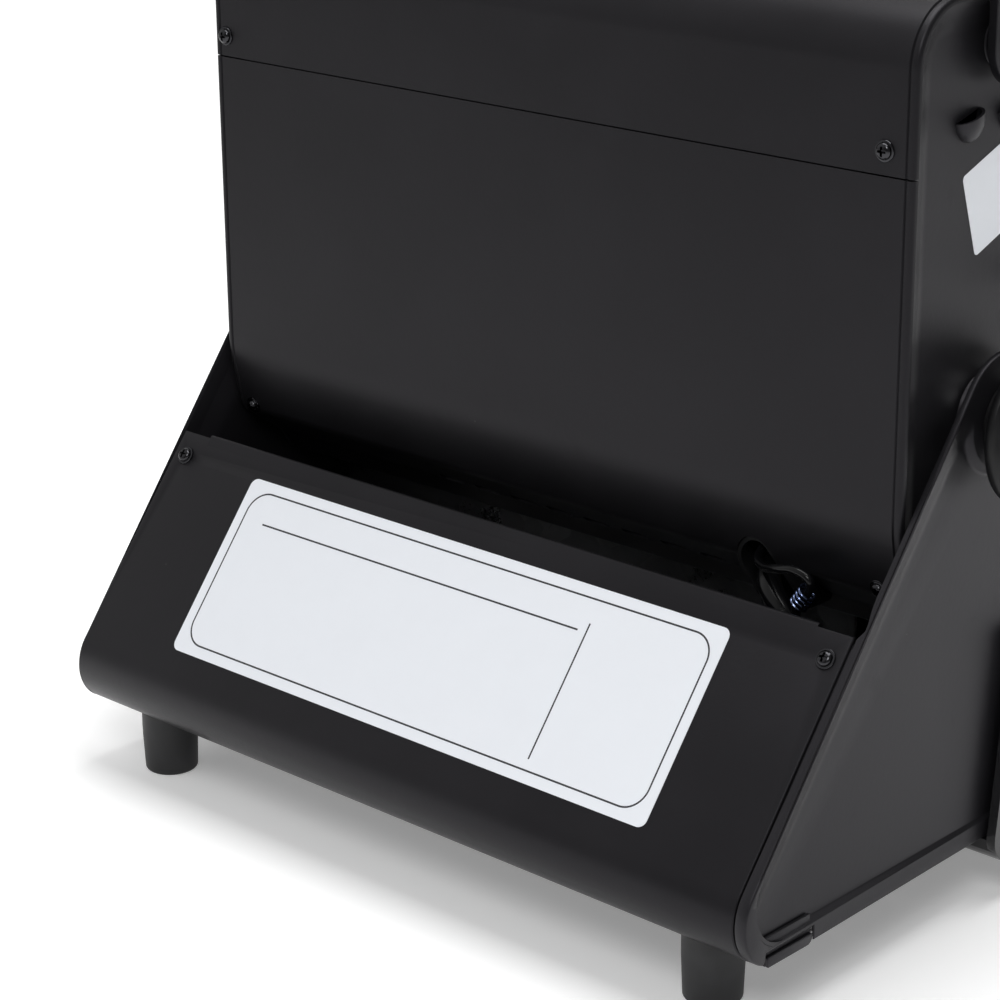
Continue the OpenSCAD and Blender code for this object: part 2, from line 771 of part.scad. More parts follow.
module plaque_gasket() {
    half_h = plaque_h / 2;
    color([0.92, 0.91, 0.88])
    difference() {
        block([-plaque_w - 3, -47, burner_z - half_h - 3], [plaque_w + 3, -38, burner_z + half_h + 3]);
        for (x0 = [1.5, -1.5 - plaque_w])
            along_y(-50, -30)
                polygon(rounded_box([x0, burner_z - half_h], [x0 + plaque_w, burner_z + half_h], 2));
    }
}

module burner_box() {
    half_x = plaque_w + 4;
    half_z = plaque_h / 2 + 4;
    color([0.55, 0.55, 0.56])
    difference() {
        union() {
            block([-half_x, -47, burner_z - half_z], [half_x, box_back, burner_z + half_z]);
            block([-half_x - 7, -48, burner_z - half_z - 6], [half_x + 7, -47, burner_z + half_z + 6]);
        }
        block([-half_x + 1, -49, burner_z - half_z + 1], [half_x - 1, box_back - 1, burner_z + half_z - 1]);
        rod_y(box_back - 2, box_back + 1, elbow_x + mixer_y - box_back, burner_z, 10);
    }
}

// Venturi tube with a bell mouth, and its elbow into the back of the burner box
module mixer_tube() {
    elbow_r = mixer_y - box_back;
    outer = [[-76, 15], [-74, 13], [-70, 10.5], [-64, 9], [-54, 9], [elbow_x, 11]];
    color([0.6, 0.6, 0.61]) {
        turned_x(mixer_y, burner_z, concat(
            [for (p = outer) [p[1], p[0]]], reversed([for (p = outer) [p[1] - 1, p[0]]])));
        translate([elbow_x, mixer_y - elbow_r, burner_z])
            rotate_extrude(angle = 90)
                translate([elbow_r, 0]) difference() { circle(r = 11); circle(r = 10); }
    }
}

module jet_holder() {
    color([0.78, 0.63, 0.3])
    difference() {
        union() {
            block([jet_x - 8, mixer_y - 7, burner_z - 7], [jet_x + 8, mixer_y + 7, burner_z + 7]);
            translate([jet_x + 8, mixer_y, burner_z]) rotate([0, 90, 0]) cylinder(h = 3, r = 5.5, $fn = 6);
            rod_x(jet_x + 10, jet_x + 16, mixer_y, burner_z, 2.5);
            block([jet_x - 6, box_back, burner_z - 5], [jet_x + 6, mixer_y - 6, burner_z + 5]);
        }
        rod_x(jet_x, jet_x + 17, mixer_y, burner_z, 0.8);
    }
}

module gas_pipe() {
    color([0.75, 0.75, 0.76]) rod_z(inlet_z + 7, burner_z - 7, jet_x, mixer_y, 3);
}

module inlet_fitting() {
    color([0.78, 0.63, 0.3]) {
        block([jet_x - 7, mixer_y - 7, inlet_z - 6], [jet_x + 7, mixer_y + 7, inlet_z + 7]);
        rod_y(mixer_y, 10, jet_x, inlet_z, hose_r + 1.2);
    }
}

module electrode() {
    color([0.93, 0.92, 0.88]) rod_z(118, 150, -108, -57, 3);
    color([0.7, 0.7, 0.7]) {
        rod_z(149, 158, -108, -57, 0.8);
        rod([-108, -57, 158], [-108, -53, 161], 0.8);
        translate([-108, -57, 158]) sphere(r = 0.8);
    }
}

// Bowed wires welded to a frame wire, and two cross wires behind the bow
module guard_grille() {
    frame_y = head_front - 2;
    frame_r = 2;
    wire_r = 1.2;
    half_x = window_half + 6;
    half_z = (window_z[1] - window_z[0]) / 2 + 6;
    bend = 8;
    bow_r = (half_z * half_z + guard_bow * guard_bow) / (2 * guard_bow);
    bow_angle = asin(half_z / bow_r);
    pitch = 2 * (half_x - 16) / (guard_wires - 1);
    cross_y = frame_y - guard_bow + 3.6;
    color([0.72, 0.72, 0.74]) {
        for (side = [-1, 1]) {
            rod_x(-half_x + bend, half_x - bend, frame_y, burner_z + side * half_z, frame_r);
            rod_z(burner_z - half_z + bend, burner_z + half_z - bend, side * half_x, frame_y, frame_r);
        }
        for (a = [0 : 90 : 270])
            translate([
                (half_x - bend) * sign(cos(a + 45)), frame_y, burner_z + (half_z - bend) * sign(sin(a + 45))])
                rotate([90, 0, 0]) rotate([0, 0, a])
                    rotate_extrude(angle = 90) translate([bend, 0]) circle(r = frame_r, $fn = 24);
        for (i = [0 : guard_wires - 1])
            translate([-half_x + 16 + i * pitch, frame_y - guard_bow + bow_r, burner_z])
                rotate([0, -90, 0]) rotate([0, 0, -bow_angle + 180 + 90])
                    rotate_extrude(angle = 2 * bow_angle)
                        translate([bow_r, 0]) circle(r = wire_r, $fn = 16);
        for (z = [burner_z - 22, burner_z + 22]) {
            rod_x(-half_x + 14, half_x - 14, cross_y, z, wire_r);
            for (side = [-1, 1]) {
                rod([side * (half_x - 14), cross_y, z], [side * half_x, frame_y, z], wire_r);
                translate([side * (half_x - 14), cross_y, z]) sphere(r = wire_r, $fn = 24);
            }
        }
    }
}

module guard_clips() {
    half_z = (window_z[1] - window_z[0]) / 2 + 6;
    color([0.3, 0.3, 0.32])
    for (x = [-60, 60], side = [-1, 1])
        difference() {
            union() {
                rod_x(x - 5, x + 5, head_front - 2, burner_z + side * half_z, 3.2);
                block([x - 5, head_front - 1.2, burner_z + side * half_z - (side < 0 ? 11 : 0)],
                    [x + 5, head_front, burner_z + side * half_z + (side > 0 ? 11 : 0)]);
            }
            rod_x(x - 6, x + 6, head_front - 2, burner_z + side * half_z, 2);
            block([x - 6, head_front, 0], [x + 6, head_front + 5, 400]);
            block([x - 6, head_front - 2, min(burner_z + side * half_z, burner_z + side * (half_z - 6))],
                [x + 6, head_front, max(burner_z + side * half_z, burner_z + side * (half_z - 6))]);
        }
}

module pivot_bolts() {
    color([0.6, 0.6, 0.62])
    both_sides() {
        rod_x(side_back - 6, web_out + 16.5, pivot[0], pivot[1], bolt_r);
        translate([side_back - 6, pivot[0], pivot[1]]) rotate([0, 90, 0]) cylinder(h = 6, r = 7.5, $fn = 6);
    }
}

module pivot_washers() {
    color([0.7, 0.7, 0.72])
    both_sides()
        difference() {
            rod_x(side_face, web_out - plate_t - 0.3, pivot[0], pivot[1], 14);
            rod_x(side_face - 1, web_out, pivot[0], pivot[1], bolt_r + running);
        }
}

module head_screws() {
    color([0.3, 0.3, 0.32])
    both_sides() {
        translate([141, head_rear, 254.4]) rotate([-90, 0, 0]) screw(1.5, 5, 3, 2);
        translate([139, 30.85, 119]) rotate([-101.7, 0, 0]) screw(1.5, 0.9, 3, 2);
        translate([141, head_front, 274]) rotate([90, 0, 0]) screw(1.5, 5, 3, 2);
    }
}

module handle_bolts() {
    color([0.3, 0.3, 0.32])
    both_sides() {
        rod_x(side_back - 4, arm_in + arm_t + 0.4, handle_pivot[0], handle_pivot[1], handle_bolt_r);
        translate([arm_in + arm_t + 0.3, handle_pivot[0], handle_pivot[1]])
            rotate([0, 90, 0]) screw(handle_bolt_r, 0.1, 6, 3);
        translate([side_back - 4, handle_pivot[0], handle_pivot[1]])
            rotate([0, 90, 0]) cylinder(h = 4, r = 5.5, $fn = 6);
    }
}

module handle_bushes() {
    color([0.1, 0.1, 0.1])
    both_sides()
        difference() {
            rod_x(side_face, arm_in - 0.3, handle_pivot[0], handle_pivot[1], 8);
            rod_x(side_face - 1, arm_in, handle_pivot[0], handle_pivot[1], handle_bolt_r + running);
        }
}

module ring_bush() {
    color([0.1, 0.1, 0.1])
    difference() {
        union() {
            rod_x(-side_face - 2, -side_face, ring_y, ring_z, 5);
            rod_x(-side_face, -side_back + 1.5, ring_y, ring_z, 3);
        }
        rod_x(-side_face - 3, -side_back + 2, ring_y, ring_z, ring_rod_r + running);
    }
}

module ring_spring() {
    wire_r = 0.4;
    coils = 6;
    color([0.75, 0.75, 0.76])
    for (i = [0 : coils - 1])
        translate([-143 + i * 3.4, ring_y, ring_z]) rotate([0, 90, 0])
            rotate_extrude() translate([3.2, 0]) circle(r = wire_r, $fn = 16);
}

// ---- Moving pieces --------------------------------------------------------------------------

module handle_strap() {
    top = handle_pivot[1] + strap_rise;
    out = arm_in + arm_t;
    color([0.09, 0.09, 0.1])
    difference() {
        union() {
            along_y(handle_pivot[0] - strap_w / 2, handle_pivot[0] + strap_w / 2)
                polygon(bent(
                    [[out, handle_pivot[1]], [out, top], [-out, top], [-out, handle_pivot[1]]],
                    [0, 14, 14, 0], arm_t));
            both_sides() rod_x(arm_in, out, handle_pivot[0], handle_pivot[1], strap_w / 2);
        }
        both_sides() rod_x(arm_in - 1, out + 1, handle_pivot[0], handle_pivot[1], handle_bolt_r + running);
    }
}

module handle_grip() {
    top = handle_pivot[1] + strap_rise;
    half = strap_w / 2 + 3;
    color([0.07, 0.07, 0.07])
    difference() {
        along_x(-62, 62)
            polygon(rounded_box([handle_pivot[0] - half, top - 10], [handle_pivot[0] + half, top + 7], 8));
        along_y(handle_pivot[0] - strap_w / 2, handle_pivot[0] + strap_w / 2)
            polygon(box_outline([-70, top - arm_t], [70, top]));
        for (x = [-45 : 30 : 45]) rod_y(-60, 40, x, top - 25, 16.5);
    }
}

module tilt_knob() {
    back = web_out + 0.5;
    face = web_out + 21;
    skirt = [[0, back], [12, back], [12, back + 6], [tilt_knob_r - 1.5, back + 8.4],
        [tilt_knob_r, back + 10], [tilt_knob_r, back + 12], [tilt_knob_r - 3, back + 13],
        [tilt_knob_r - 4, face - 2], [tilt_knob_r - 7, face], [0, face]];
    flutes = 12;
    color([0.06, 0.06, 0.06])
    difference() {
        turned_x(pivot[0], pivot[1], skirt);
        rod_x(back - 1, face - 3, pivot[0], pivot[1], bolt_r + running);
        for (i = [0 : flutes - 1])
            rod_x(back + 13.2, face + 1, pivot[0] + (tilt_knob_r - 0.5) * cos(360 * i / flutes),
                pivot[1] + (tilt_knob_r - 0.5) * sin(360 * i / flutes), 3);
    }
}

module tilt_knob_left() { tilt_knob(); }
module tilt_knob_right() { mirror([1, 0, 0]) tilt_knob(); }

module control_knob() {
    r = control_knob_r;
    back = front_y + 3.6;
    face = -112;
    color([0.06, 0.06, 0.06])
    difference() {
        union() {
            translate([valve_x, 0, cart_z]) rotate([90, 0, 0])
                rotate_extrude()
                    polygon([[0, -back], [r, -back], [r, -back + 4], [r - 1, -back + 6],
                        [r - 2.5, -back + 7], [0, -back + 7]]);
            intersection() {
                rod_y(face, back, valve_x, cart_z, r - 2);
                block([valve_x - 4.5, face, cart_z - r], [valve_x + 4.5, back, cart_z + r]);
            }
        }
        rod_y(-106, back + 1, valve_x, cart_z, 3 + running);
        block([valve_x - 0.8, face - 1, cart_z + r - 8], [valve_x + 0.8, face + 0.8, cart_z + r]);
    }
}

module valve_spindle() {
    color([0.7, 0.7, 0.72]) rod_y(-106, -74, valve_x, cart_z, 3);
}

// The lever's plate has an inclined slot that carries the hook's pin
module cartridge_lever() {
    plate_y = inner_y + 0.7;
    pin_x = lever_x + hook_travel / 2 - 0.5;
    color([0.1, 0.1, 0.1])
    difference() {
        union() {
            block([lever_x - lever_half, plate_y, 44], [lever_x + lever_half, plate_y + 1.5, 81]);
            block([lever_x - 2.3, front_y - 4, lever_stem_z - 2], [lever_x + 2.3, plate_y + eps, lever_stem_z + 2]);
            along_y(front_y - 8, front_y - 1)
                polygon(rounded_box([lever_x - 7, lever_stem_z - 4], [lever_x + 7, lever_stem_z + 4], 2));
        }
        along_y(plate_y - 0.3, plate_y + 2)
            polygon([for (end = [0, 1], a = [0 : 15 : 180])
                [pin_x - end * hook_travel, hook_pin_z + end * lever_travel]
                    + 2.3 * turned([1, 0], a + 180 + end * 180 + atan(hook_travel / lever_travel))]);
    }
}

module cartridge_hook() {
    pin_x = lever_x + hook_travel / 2 - 0.5;
    color([0.65, 0.65, 0.67])
    difference() {
        union() {
            along_x(-93.5, -92) {
                polygon(rounded_box([cart_y - 18, cart_z - 8], [cart_y + 18, cart_z + 24], 4));
                polygon(box_outline([-93.8, hook_pin_z - 2.5], [cart_y, hook_pin_z + 3]));
            }
            block([pin_x - 2.4, -93.8, hook_pin_z - 2.5], [-92, -85, hook_pin_z + 3]);
            rod_y(inner_y + 0.35, -93, pin_x, hook_pin_z, 2);
        }
        along_x(-95, -91)
            polygon(rounded_box([cart_y - 10, cart_z - 20], [cart_y + 10, cart_z + 9], 8));
    }
}

module cartridge_cover() {
    low = hinge_z;
    color([0.08, 0.08, 0.09])
    difference() {
        union() {
            along_y(front_y, inner_y)
                polygon(skin(
                    box_outline([door_x[0] + door_gap, low], [door_x[1] - door_gap, door_z[1] - door_gap]),
                    [0, 0, 4, 4]));
            for (x = knuckle_x)
                rod_x(x - knuckle_w / 2, x + knuckle_w / 2, hinge_y, hinge_z, hinge_r);
            for (z = [36, 52, 68])
                block([door_x[0] + 8, inner_y - eps, z - 0.6], [door_x[1] - 8, inner_y + 1.8, z + 0.6]);
            for (x = [-40, 90])
                block([x - 6, inner_y - eps, 80], [x + 6, inner_y + 2.5, door_z[1] - door_gap]);
        }
        // Room for the housing's knuckles, the hinge pin and a finger dish at the top edge
        for (x = knuckle_x, side = [-1, 1])
            translate([x + side * (knuckle_w / 2 + 0.4 + side_knuckle_w / 2), 0, 0])
                block([-side_knuckle_w / 2 - 0.4, front_y - 1, low - 1],
                    [side_knuckle_w / 2 + 0.4, inner_y + 1, hinge_z + hinge_r + 0.7]);
        rod_x(door_x[0], door_x[1], hinge_y, hinge_z, hinge_pin_r + running);
        translate([30, front_y - 10, door_z[1]]) rotate([90, 0, 90])
            translate([0, 0, -20]) cylinder(h = 40, r = 11.4);
    }
}

module pull_ring() {
    ring_r = 6.5;
    ring_x = -head_half - 16;
    color([0.75, 0.75, 0.76]) {
        rod_x(ring_x + ring_r, -121, ring_y, ring_z, ring_rod_r);
        rod_x(-124.5, -122.5, ring_y, ring_z, 4);
        translate([ring_x, ring_y, ring_z]) rotate([90, 0, 0])
            rotate_extrude() translate([ring_r, 0]) circle(r = 1.2, $fn = 24);
    }
}

rear_panel();
base_floor();
side_plate_left();
side_plate_right();
front_housing();
bay_partition();
cartridge_cradle();
foot_rear_left();
foot_rear_right();
foot_front_left();
foot_front_right();
base_screws();
valve_body();
hose_barb();
piezo_igniter();
cover_hinge_pin();
lead_spring();
gas_hose();
ignition_lead();
hood();
rear_lower_panel();
head_base_plate();
head_side_left();
head_side_right();
front_bezel();
reflector();
plaque_left();
plaque_right();
plaque_gasket();
burner_box();
mixer_tube();
jet_holder();
gas_pipe();
inlet_fitting();
hose_grommet();
electrode();
guard_grille();
guard_clips();
pivot_bolts();
pivot_washers();
head_screws();
handle_bolts();
handle_bushes();
ring_bush();
ring_spring();
handle_strap();
handle_grip();
tilt_knob_left();
tilt_knob_right();
control_knob();
valve_spindle();
cartridge_lever();
cartridge_hook();
cartridge_cover();
pull_ring();
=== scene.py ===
"""Visible finish of a portable gas cartridge heater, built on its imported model.

Sizes are in millimetres in the model's own frame: X along the width, the burner towards -Y, Z up.
A sheet's outline is drawn in the (y, z) plane, and its solid side lies to the left of its path.
"""

import json
import logging
import math
from dataclasses import dataclass, field
from enum import Enum
from typing import Callable, Iterable, Sequence

import bmesh
import bpy
import numpy as np
from mathutils import Matrix, Vector

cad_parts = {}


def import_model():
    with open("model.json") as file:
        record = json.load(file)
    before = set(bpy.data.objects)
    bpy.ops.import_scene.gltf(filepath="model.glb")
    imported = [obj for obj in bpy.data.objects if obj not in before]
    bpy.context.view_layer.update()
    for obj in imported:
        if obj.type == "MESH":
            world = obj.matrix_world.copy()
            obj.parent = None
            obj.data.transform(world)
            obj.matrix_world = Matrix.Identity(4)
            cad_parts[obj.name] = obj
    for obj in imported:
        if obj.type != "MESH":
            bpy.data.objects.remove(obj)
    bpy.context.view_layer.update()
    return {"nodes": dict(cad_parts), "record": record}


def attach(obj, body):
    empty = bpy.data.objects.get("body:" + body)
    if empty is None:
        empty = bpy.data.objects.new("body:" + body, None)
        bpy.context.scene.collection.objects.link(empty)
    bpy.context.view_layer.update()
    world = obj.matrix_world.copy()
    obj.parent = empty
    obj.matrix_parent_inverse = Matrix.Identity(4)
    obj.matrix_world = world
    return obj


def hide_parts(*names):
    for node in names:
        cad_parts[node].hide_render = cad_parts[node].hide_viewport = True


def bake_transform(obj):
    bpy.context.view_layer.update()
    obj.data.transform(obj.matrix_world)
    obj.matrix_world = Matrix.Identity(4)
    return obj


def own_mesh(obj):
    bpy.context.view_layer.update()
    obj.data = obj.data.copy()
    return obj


LOG = logging.getLogger("heater")
MM = 0.001
PER_MM = 1000.0
HANDS = {1: "left", -1: "right"}
WELD = 0.0005
SHARP = 32.0
EASE_OVER = 40.0
NODE_WELD = 0.002
FLAT_UNDER = 0.5

Flat = Sequence[float]
Colour = tuple[float, float, float]


# ---- Shader nodes ---------------------------------------------------------------------------


class Wire:
    """A shader value that takes part in plain sums; each sum adds its Math node."""

    def __init__(self, tree: "Tree", socket: bpy.types.NodeSocket) -> None:
        """Wraps one output socket of a tree."""
        self.tree = tree
        self.socket = socket

    def math(self, operation: str, *others: "Wire | float") -> "Wire":
        """This value put through one Math node, with the other operands after it."""
        node = self.tree.add("ShaderNodeMath", dict(enumerate([self, *others])), operation=operation)
        return Wire(self.tree, node.outputs[0])

    def __add__(self, other: "Wire | float") -> "Wire":
        """This value plus another."""
        return self.math("ADD", other)

    def __sub__(self, other: "Wire | float") -> "Wire":
        """This value less another."""
        return self.math("SUBTRACT", other)

    def __mul__(self, other: "Wire | float") -> "Wire":
        """This value times another."""
        return self.math("MULTIPLY", other)

    def __abs__(self) -> "Wire":
        """This value without its sign."""
        return self.math("ABSOLUTE")

    def at_least(self, other: "Wire | float") -> "Wire":
        """The larger of this value and another."""
        return self.math("MAXIMUM", other)

    def under(self, limit: "Wire | float") -> "Wire":
        """1 where this value is under a limit, and 0 elsewhere."""
        return self.math("LESS_THAN", limit)

    def fitted(self, low: float, high: float, to_low: float = 0.0, to_high: float = 1.0) -> "Wire":
        """This value's range low to high brought smoothly to another range."""
        ends = {"From Min": low, "From Max": high, "To Min": to_low, "To Max": to_high}
        node = self.tree.add("ShaderNodeMapRange", {"Value": self, **ends}, interpolation_type="SMOOTHSTEP")
        return Wire(self.tree, node.outputs[0])


class Tree:
    """A material's nodes, or a geometry node group's, made by one method."""

    def __init__(self, nodes: bpy.types.NodeTree) -> None:
        """Takes over an empty node tree."""
        self.nodes = nodes

    def add(
        self, kind: str, inputs: dict[str | int, object] | None = None, **settings: object
    ) -> bpy.types.Node:
        """Adds one node.

        Args:
            kind: The node's type.
            inputs: A value or a link for each named or numbered socket.
            settings: The node's own settings, set before its sockets.

        Returns:
            The node.
        """
        node = self.nodes.nodes.new(kind)
        for name, value in settings.items():
            setattr(node, name, value)
        for key, value in (inputs or {}).items():
            self.feed(node.inputs[key], value)
        return node

    def feed(self, socket: bpy.types.NodeSocket, value: object) -> None:
        """Links or sets one input socket; None leaves it alone."""
        if isinstance(value, Wire):
            value = value.socket
        if isinstance(value, bpy.types.NodeSocket):
            self.nodes.links.new(value, socket)
        elif value is not None:
            wide = isinstance(value, tuple) and len(value) == 3 and socket.type == "RGBA"
            socket.default_value = (*value, 1.0) if wide else value

    def split(self, vector: bpy.types.NodeSocket) -> list[Wire]:
        """The three parts of a vector."""
        parts = self.add("ShaderNodeSeparateXYZ", {0: vector})
        return [Wire(self, parts.outputs[i]) for i in range(3)]


class Surface(Tree):
    """The nodes of one material round a Principled shader."""

    def __init__(self, name: str) -> None:
        """Makes the material and reads its Object coordinates."""
        self.material = bpy.data.materials.new(f"{name}_finish")
        self.material.use_nodes = True
        super().__init__(self.material.node_tree)
        self.nodes.nodes.clear()
        self.place = self.add("ShaderNodeTexCoord").outputs["Object"]

    def noise(self, per_mm: float, detail: float = 2.0, stretch: Flat = (1, 1, 1)) -> Wire:
        """Soft noise with about so many features to a millimetre."""
        scale = tuple(s * PER_MM for s in stretch)
        grid = self.add("ShaderNodeMapping", {"Vector": self.place, "Scale": scale}).outputs[0]
        inputs = {"Vector": grid, "Scale": per_mm, "Detail": detail, "Roughness": 0.55}
        return Wire(self, self.add("ShaderNodeTexNoise", inputs).outputs[0])

    def cells(self, per_m: float) -> bpy.types.Node:
        """Random cells, about so many to a metre."""
        return self.add("ShaderNodeTexVoronoi", {"Vector": self.place, "Scale": per_m}, feature="F1")

    def mixed(self, share: Wire | float, low: object, high: object) -> bpy.types.NodeSocket:
        """A colour between two, by a share."""
        return self.add("ShaderNodeMix", {0: share, 6: low, 7: high}, data_type="RGBA").outputs[2]

    def finish(
        self,
        tone: bpy.types.NodeSocket,
        rough: Wire | float,
        relief: tuple[Wire, float] | None,
        fixed: dict[str, object],
    ) -> bpy.types.Material:
        """Closes the tree with its Principled shader.

        Args:
            tone: The base colour.
            rough: The roughness.
            relief: A height of 0 to 1 and its depth in millimetres, or None on a flat skin.
            fixed: Plain values for other sockets of the shader.

        Returns:
            The finished material.
        """
        normal = None
        if relief:
            bump = {"Height": relief[0], "Distance": relief[1] * MM, "Strength": 1.0}
            normal = self.add("ShaderNodeBump", bump).outputs[0]
        sockets = {**fixed, "Base Color": tone, "Roughness": rough, "Normal": normal}
        shader = self.add("ShaderNodeBsdfPrincipled", sockets)
        self.add("ShaderNodeOutputMaterial", {"Surface": shader.outputs[0]})
        return self.material


def shade(colour: Colour, factor: float) -> Colour:
    """A colour made lighter or darker."""
    return tuple(c * factor for c in colour)


# ---- Finishes -------------------------------------------------------------------------------


@dataclass(frozen=True)
class PowderCoat:
    """Baked powder on sheet steel: a fine sandy skin with soft cloudy gloss and a few dust specks."""

    name: str = "powder_coat"
    colour: Colour = (0.0062, 0.0060, 0.0068)
    roughness: float = 0.38
    grain_mm: float = 0.04
    shine: float = 0.22
    tint: tuple[float, float, float, float] = (0.95, 0.92, 1.0, 1.0)
    dust: Colour = (0.22, 0.21, 0.2)

    def made(self) -> bpy.types.Material:
        """The material."""
        s = Surface(self.name)
        cloud, fine, peel, worn = s.noise(0.02, 3.0), s.noise(2.6), s.noise(0.55, 1.0), s.noise(0.12, 4.0)
        rough = (cloud - 0.5) * 0.10 + (fine - 0.5) * 0.10 + worn.fitted(0.62, 0.75) * 0.05 + self.roughness
        specks = Wire(s, s.cells(45.0).outputs["Distance"]).under(0.014)
        specks = specks * s.noise(0.03, 1.0).fitted(0.45, 0.62) * 0.35
        tone = s.mixed(cloud.fitted(0.3, 0.7), self.colour, shade(self.colour, 1.35))
        tone = s.mixed(specks, tone, self.dust)
        fixed = {"IOR": 1.5, "Specular IOR Level": self.shine, "Specular Tint": self.tint}
        return s.finish(tone, rough, (fine * 0.7 + peel * 0.5, self.grain_mm), fixed)


@dataclass(frozen=True)
class Moulding:
    """Injection-moulded plastic, glossy or finely spark-eroded."""

    name: str
    colour: Colour = (0.012, 0.012, 0.013)
    roughness: float = 0.12
    grain_mm: float = 0.004
    grain_per_mm: float = 1.2
    shine: float = 0.5

    def made(self) -> bpy.types.Material:
        """The material."""
        s = Surface(self.name)
        grain, smear = s.noise(self.grain_per_mm, 3.0), s.noise(0.035, 4.0)
        rough = smear.fitted(0.35, 0.75, self.roughness, self.roughness + 0.08) + (grain - 0.5) * 0.06
        tone = s.mixed(smear, self.colour, shade(self.colour, 1.2))
        return s.finish(tone, rough, (grain, self.grain_mm), {"IOR": 1.49, "Specular IOR Level": self.shine})


@dataclass(frozen=True)
class Rubber:
    """Matt black rubber with a bloom and fine flow marks."""

    name: str = "foot_rubber"
    colour: Colour = (0.018, 0.018, 0.019)
    roughness: float = 0.55
    grain_mm: float = 0.02
    shine: float = 0.4

    def made(self) -> bpy.types.Material:
        """The material."""
        s = Surface(self.name)
        bloom, grain = s.noise(0.08, 4.0), s.noise(1.8, 3.0)
        tone = s.mixed(bloom.fitted(0.4, 0.75), self.colour, shade(self.colour, 1.7))
        rough = bloom * 0.14 + (self.roughness - 0.07)
        return s.finish(tone, rough, (grain, self.grain_mm), {"Specular IOR Level": self.shine})


@dataclass(frozen=True)
class Metal:
    """Bare or plated metal, drawn along one axis or cast."""

    name: str
    colour: Colour
    roughness: float = 0.28
    drawn: Flat = (1.0, 1.0, 1.0)
    grain_mm: float = 0.006
    stain: Colour | None = None

    def made(self) -> bpy.types.Material:
        """The material."""
        s = Surface(self.name)
        lines, cloud = s.noise(1.5, 4.0, self.drawn), s.noise(0.05, 4.0)
        tone = s.mixed(cloud.fitted(0.35, 0.7), self.colour, self.stain or shade(self.colour, 0.82))
        rough = cloud.fitted(0.3, 0.7, self.roughness, self.roughness + 0.12) + (lines - 0.5) * 0.12
        return s.finish(tone, rough, (lines, self.grain_mm), {"Metallic": 1.0})


@dataclass(frozen=True)
class Spangle:
    """Hot-dip zinc on sheet, in large faint crystals."""

    name: str = "galvanised_sheet"
    colour: Colour = (0.46, 0.47, 0.49)

    def made(self) -> bpy.types.Material:
        """The material."""
        s = Surface(self.name)
        parts = s.add("ShaderNodeSeparateColor", {0: s.cells(110.0).outputs["Color"]})
        flake, grain = Wire(s, parts.outputs[0]), s.noise(1.2, 3.0)
        tone = s.mixed(flake, self.colour, shade(self.colour, 0.72))
        return s.finish(tone, flake * 0.2 + grain * 0.1 + 0.22, (grain, 0.01), {"Metallic": 1.0})


@dataclass(frozen=True)
class Ceramic:
    """Porous off-white burner ceramic, a little browned by use."""

    name: str = "plaque_ceramic"
    colour: Colour = (0.62, 0.57, 0.49)
    scorch: Colour = (0.34, 0.28, 0.22)

    def made(self) -> bpy.types.Material:
        """The material."""
        s = Surface(self.name)
        pores, cloud = s.noise(1.6, 4.0), s.noise(0.03, 4.0)
        tone = s.mixed(cloud.fitted(0.52, 0.8) * 0.6, self.colour, self.scorch)
        return s.finish(tone, pores * 0.1 + 0.82, (pores, 0.05), {"Specular IOR Level": 0.25})


@dataclass(frozen=True)
class Fibre:
    """Felted white insulating fibre."""

    name: str = "fibre_gasket"
    colour: Colour = (0.72, 0.71, 0.68)

    def made(self) -> bpy.types.Material:
        """The material."""
        s = Surface(self.name)
        felt = s.noise(0.9, 6.0, (1.0, 0.35, 1.0))
        tone = s.mixed(felt.fitted(0.35, 0.7), shade(self.colour, 0.8), self.colour)
        return s.finish(tone, felt * 0.08 + 0.9, (felt, 0.15), {"Specular IOR Level": 0.1})


@dataclass(frozen=True)
class RuledPlate:
    """A blank white plate, printed with a border and plain rules only.

    Its flat place is across in X and down a slope, both in millimetres from the slope's top.
    """

    name: str
    centre: tuple[float, float]
    half: tuple[float, float]
    corner: float
    rules: tuple[tuple[float, float, float, float], ...]
    down: Flat
    top: Flat
    line: float = 0.62
    paper: Colour = (0.82, 0.845, 0.89)
    ink: Colour = (0.02, 0.02, 0.025)

    def made(self) -> bpy.types.Material:
        """The material."""
        s = Surface(self.name)
        x, y, z = (part * PER_MM for part in s.split(s.place))
        run = (y - self.top[0]) * self.down[0] + (z - self.top[1]) * self.down[1]
        u, v = x - self.centre[0], run - self.centre[1]
        ink = self._border(u, v)
        for u0, v0, u1, v1 in self.rules:
            past_u = abs(u - (u0 + u1) / 2) - abs(u1 - u0) / 2
            past_v = abs(v - (v0 + v1) / 2) - abs(v1 - v0) / 2
            ink = ink.at_least(past_u.at_least(past_v).under(self.line / 2))
        blotch = s.noise(0.06, 3.0)
        tone = s.mixed(ink, s.mixed(blotch, self.paper, shade(self.paper, 0.97)), self.ink)
        return s.finish(tone, blotch * 0.08 + 0.3, (s.noise(0.5), 0.01), {"Specular IOR Level": 0.5})

    def _border(self, u: Wire, v: Wire) -> Wire:
        """The rounded frame line."""
        a = (abs(u) - (self.half[0] - self.corner)).at_least(0.0)
        b = (abs(v) - (self.half[1] - self.corner)).at_least(0.0)
        reach = (a * a + b * b).math("SQRT") - self.corner
        inner = (abs(u) - self.half[0]).at_least(abs(v) - self.half[1])
        return abs(reach.at_least(inner)).under(self.line / 2)


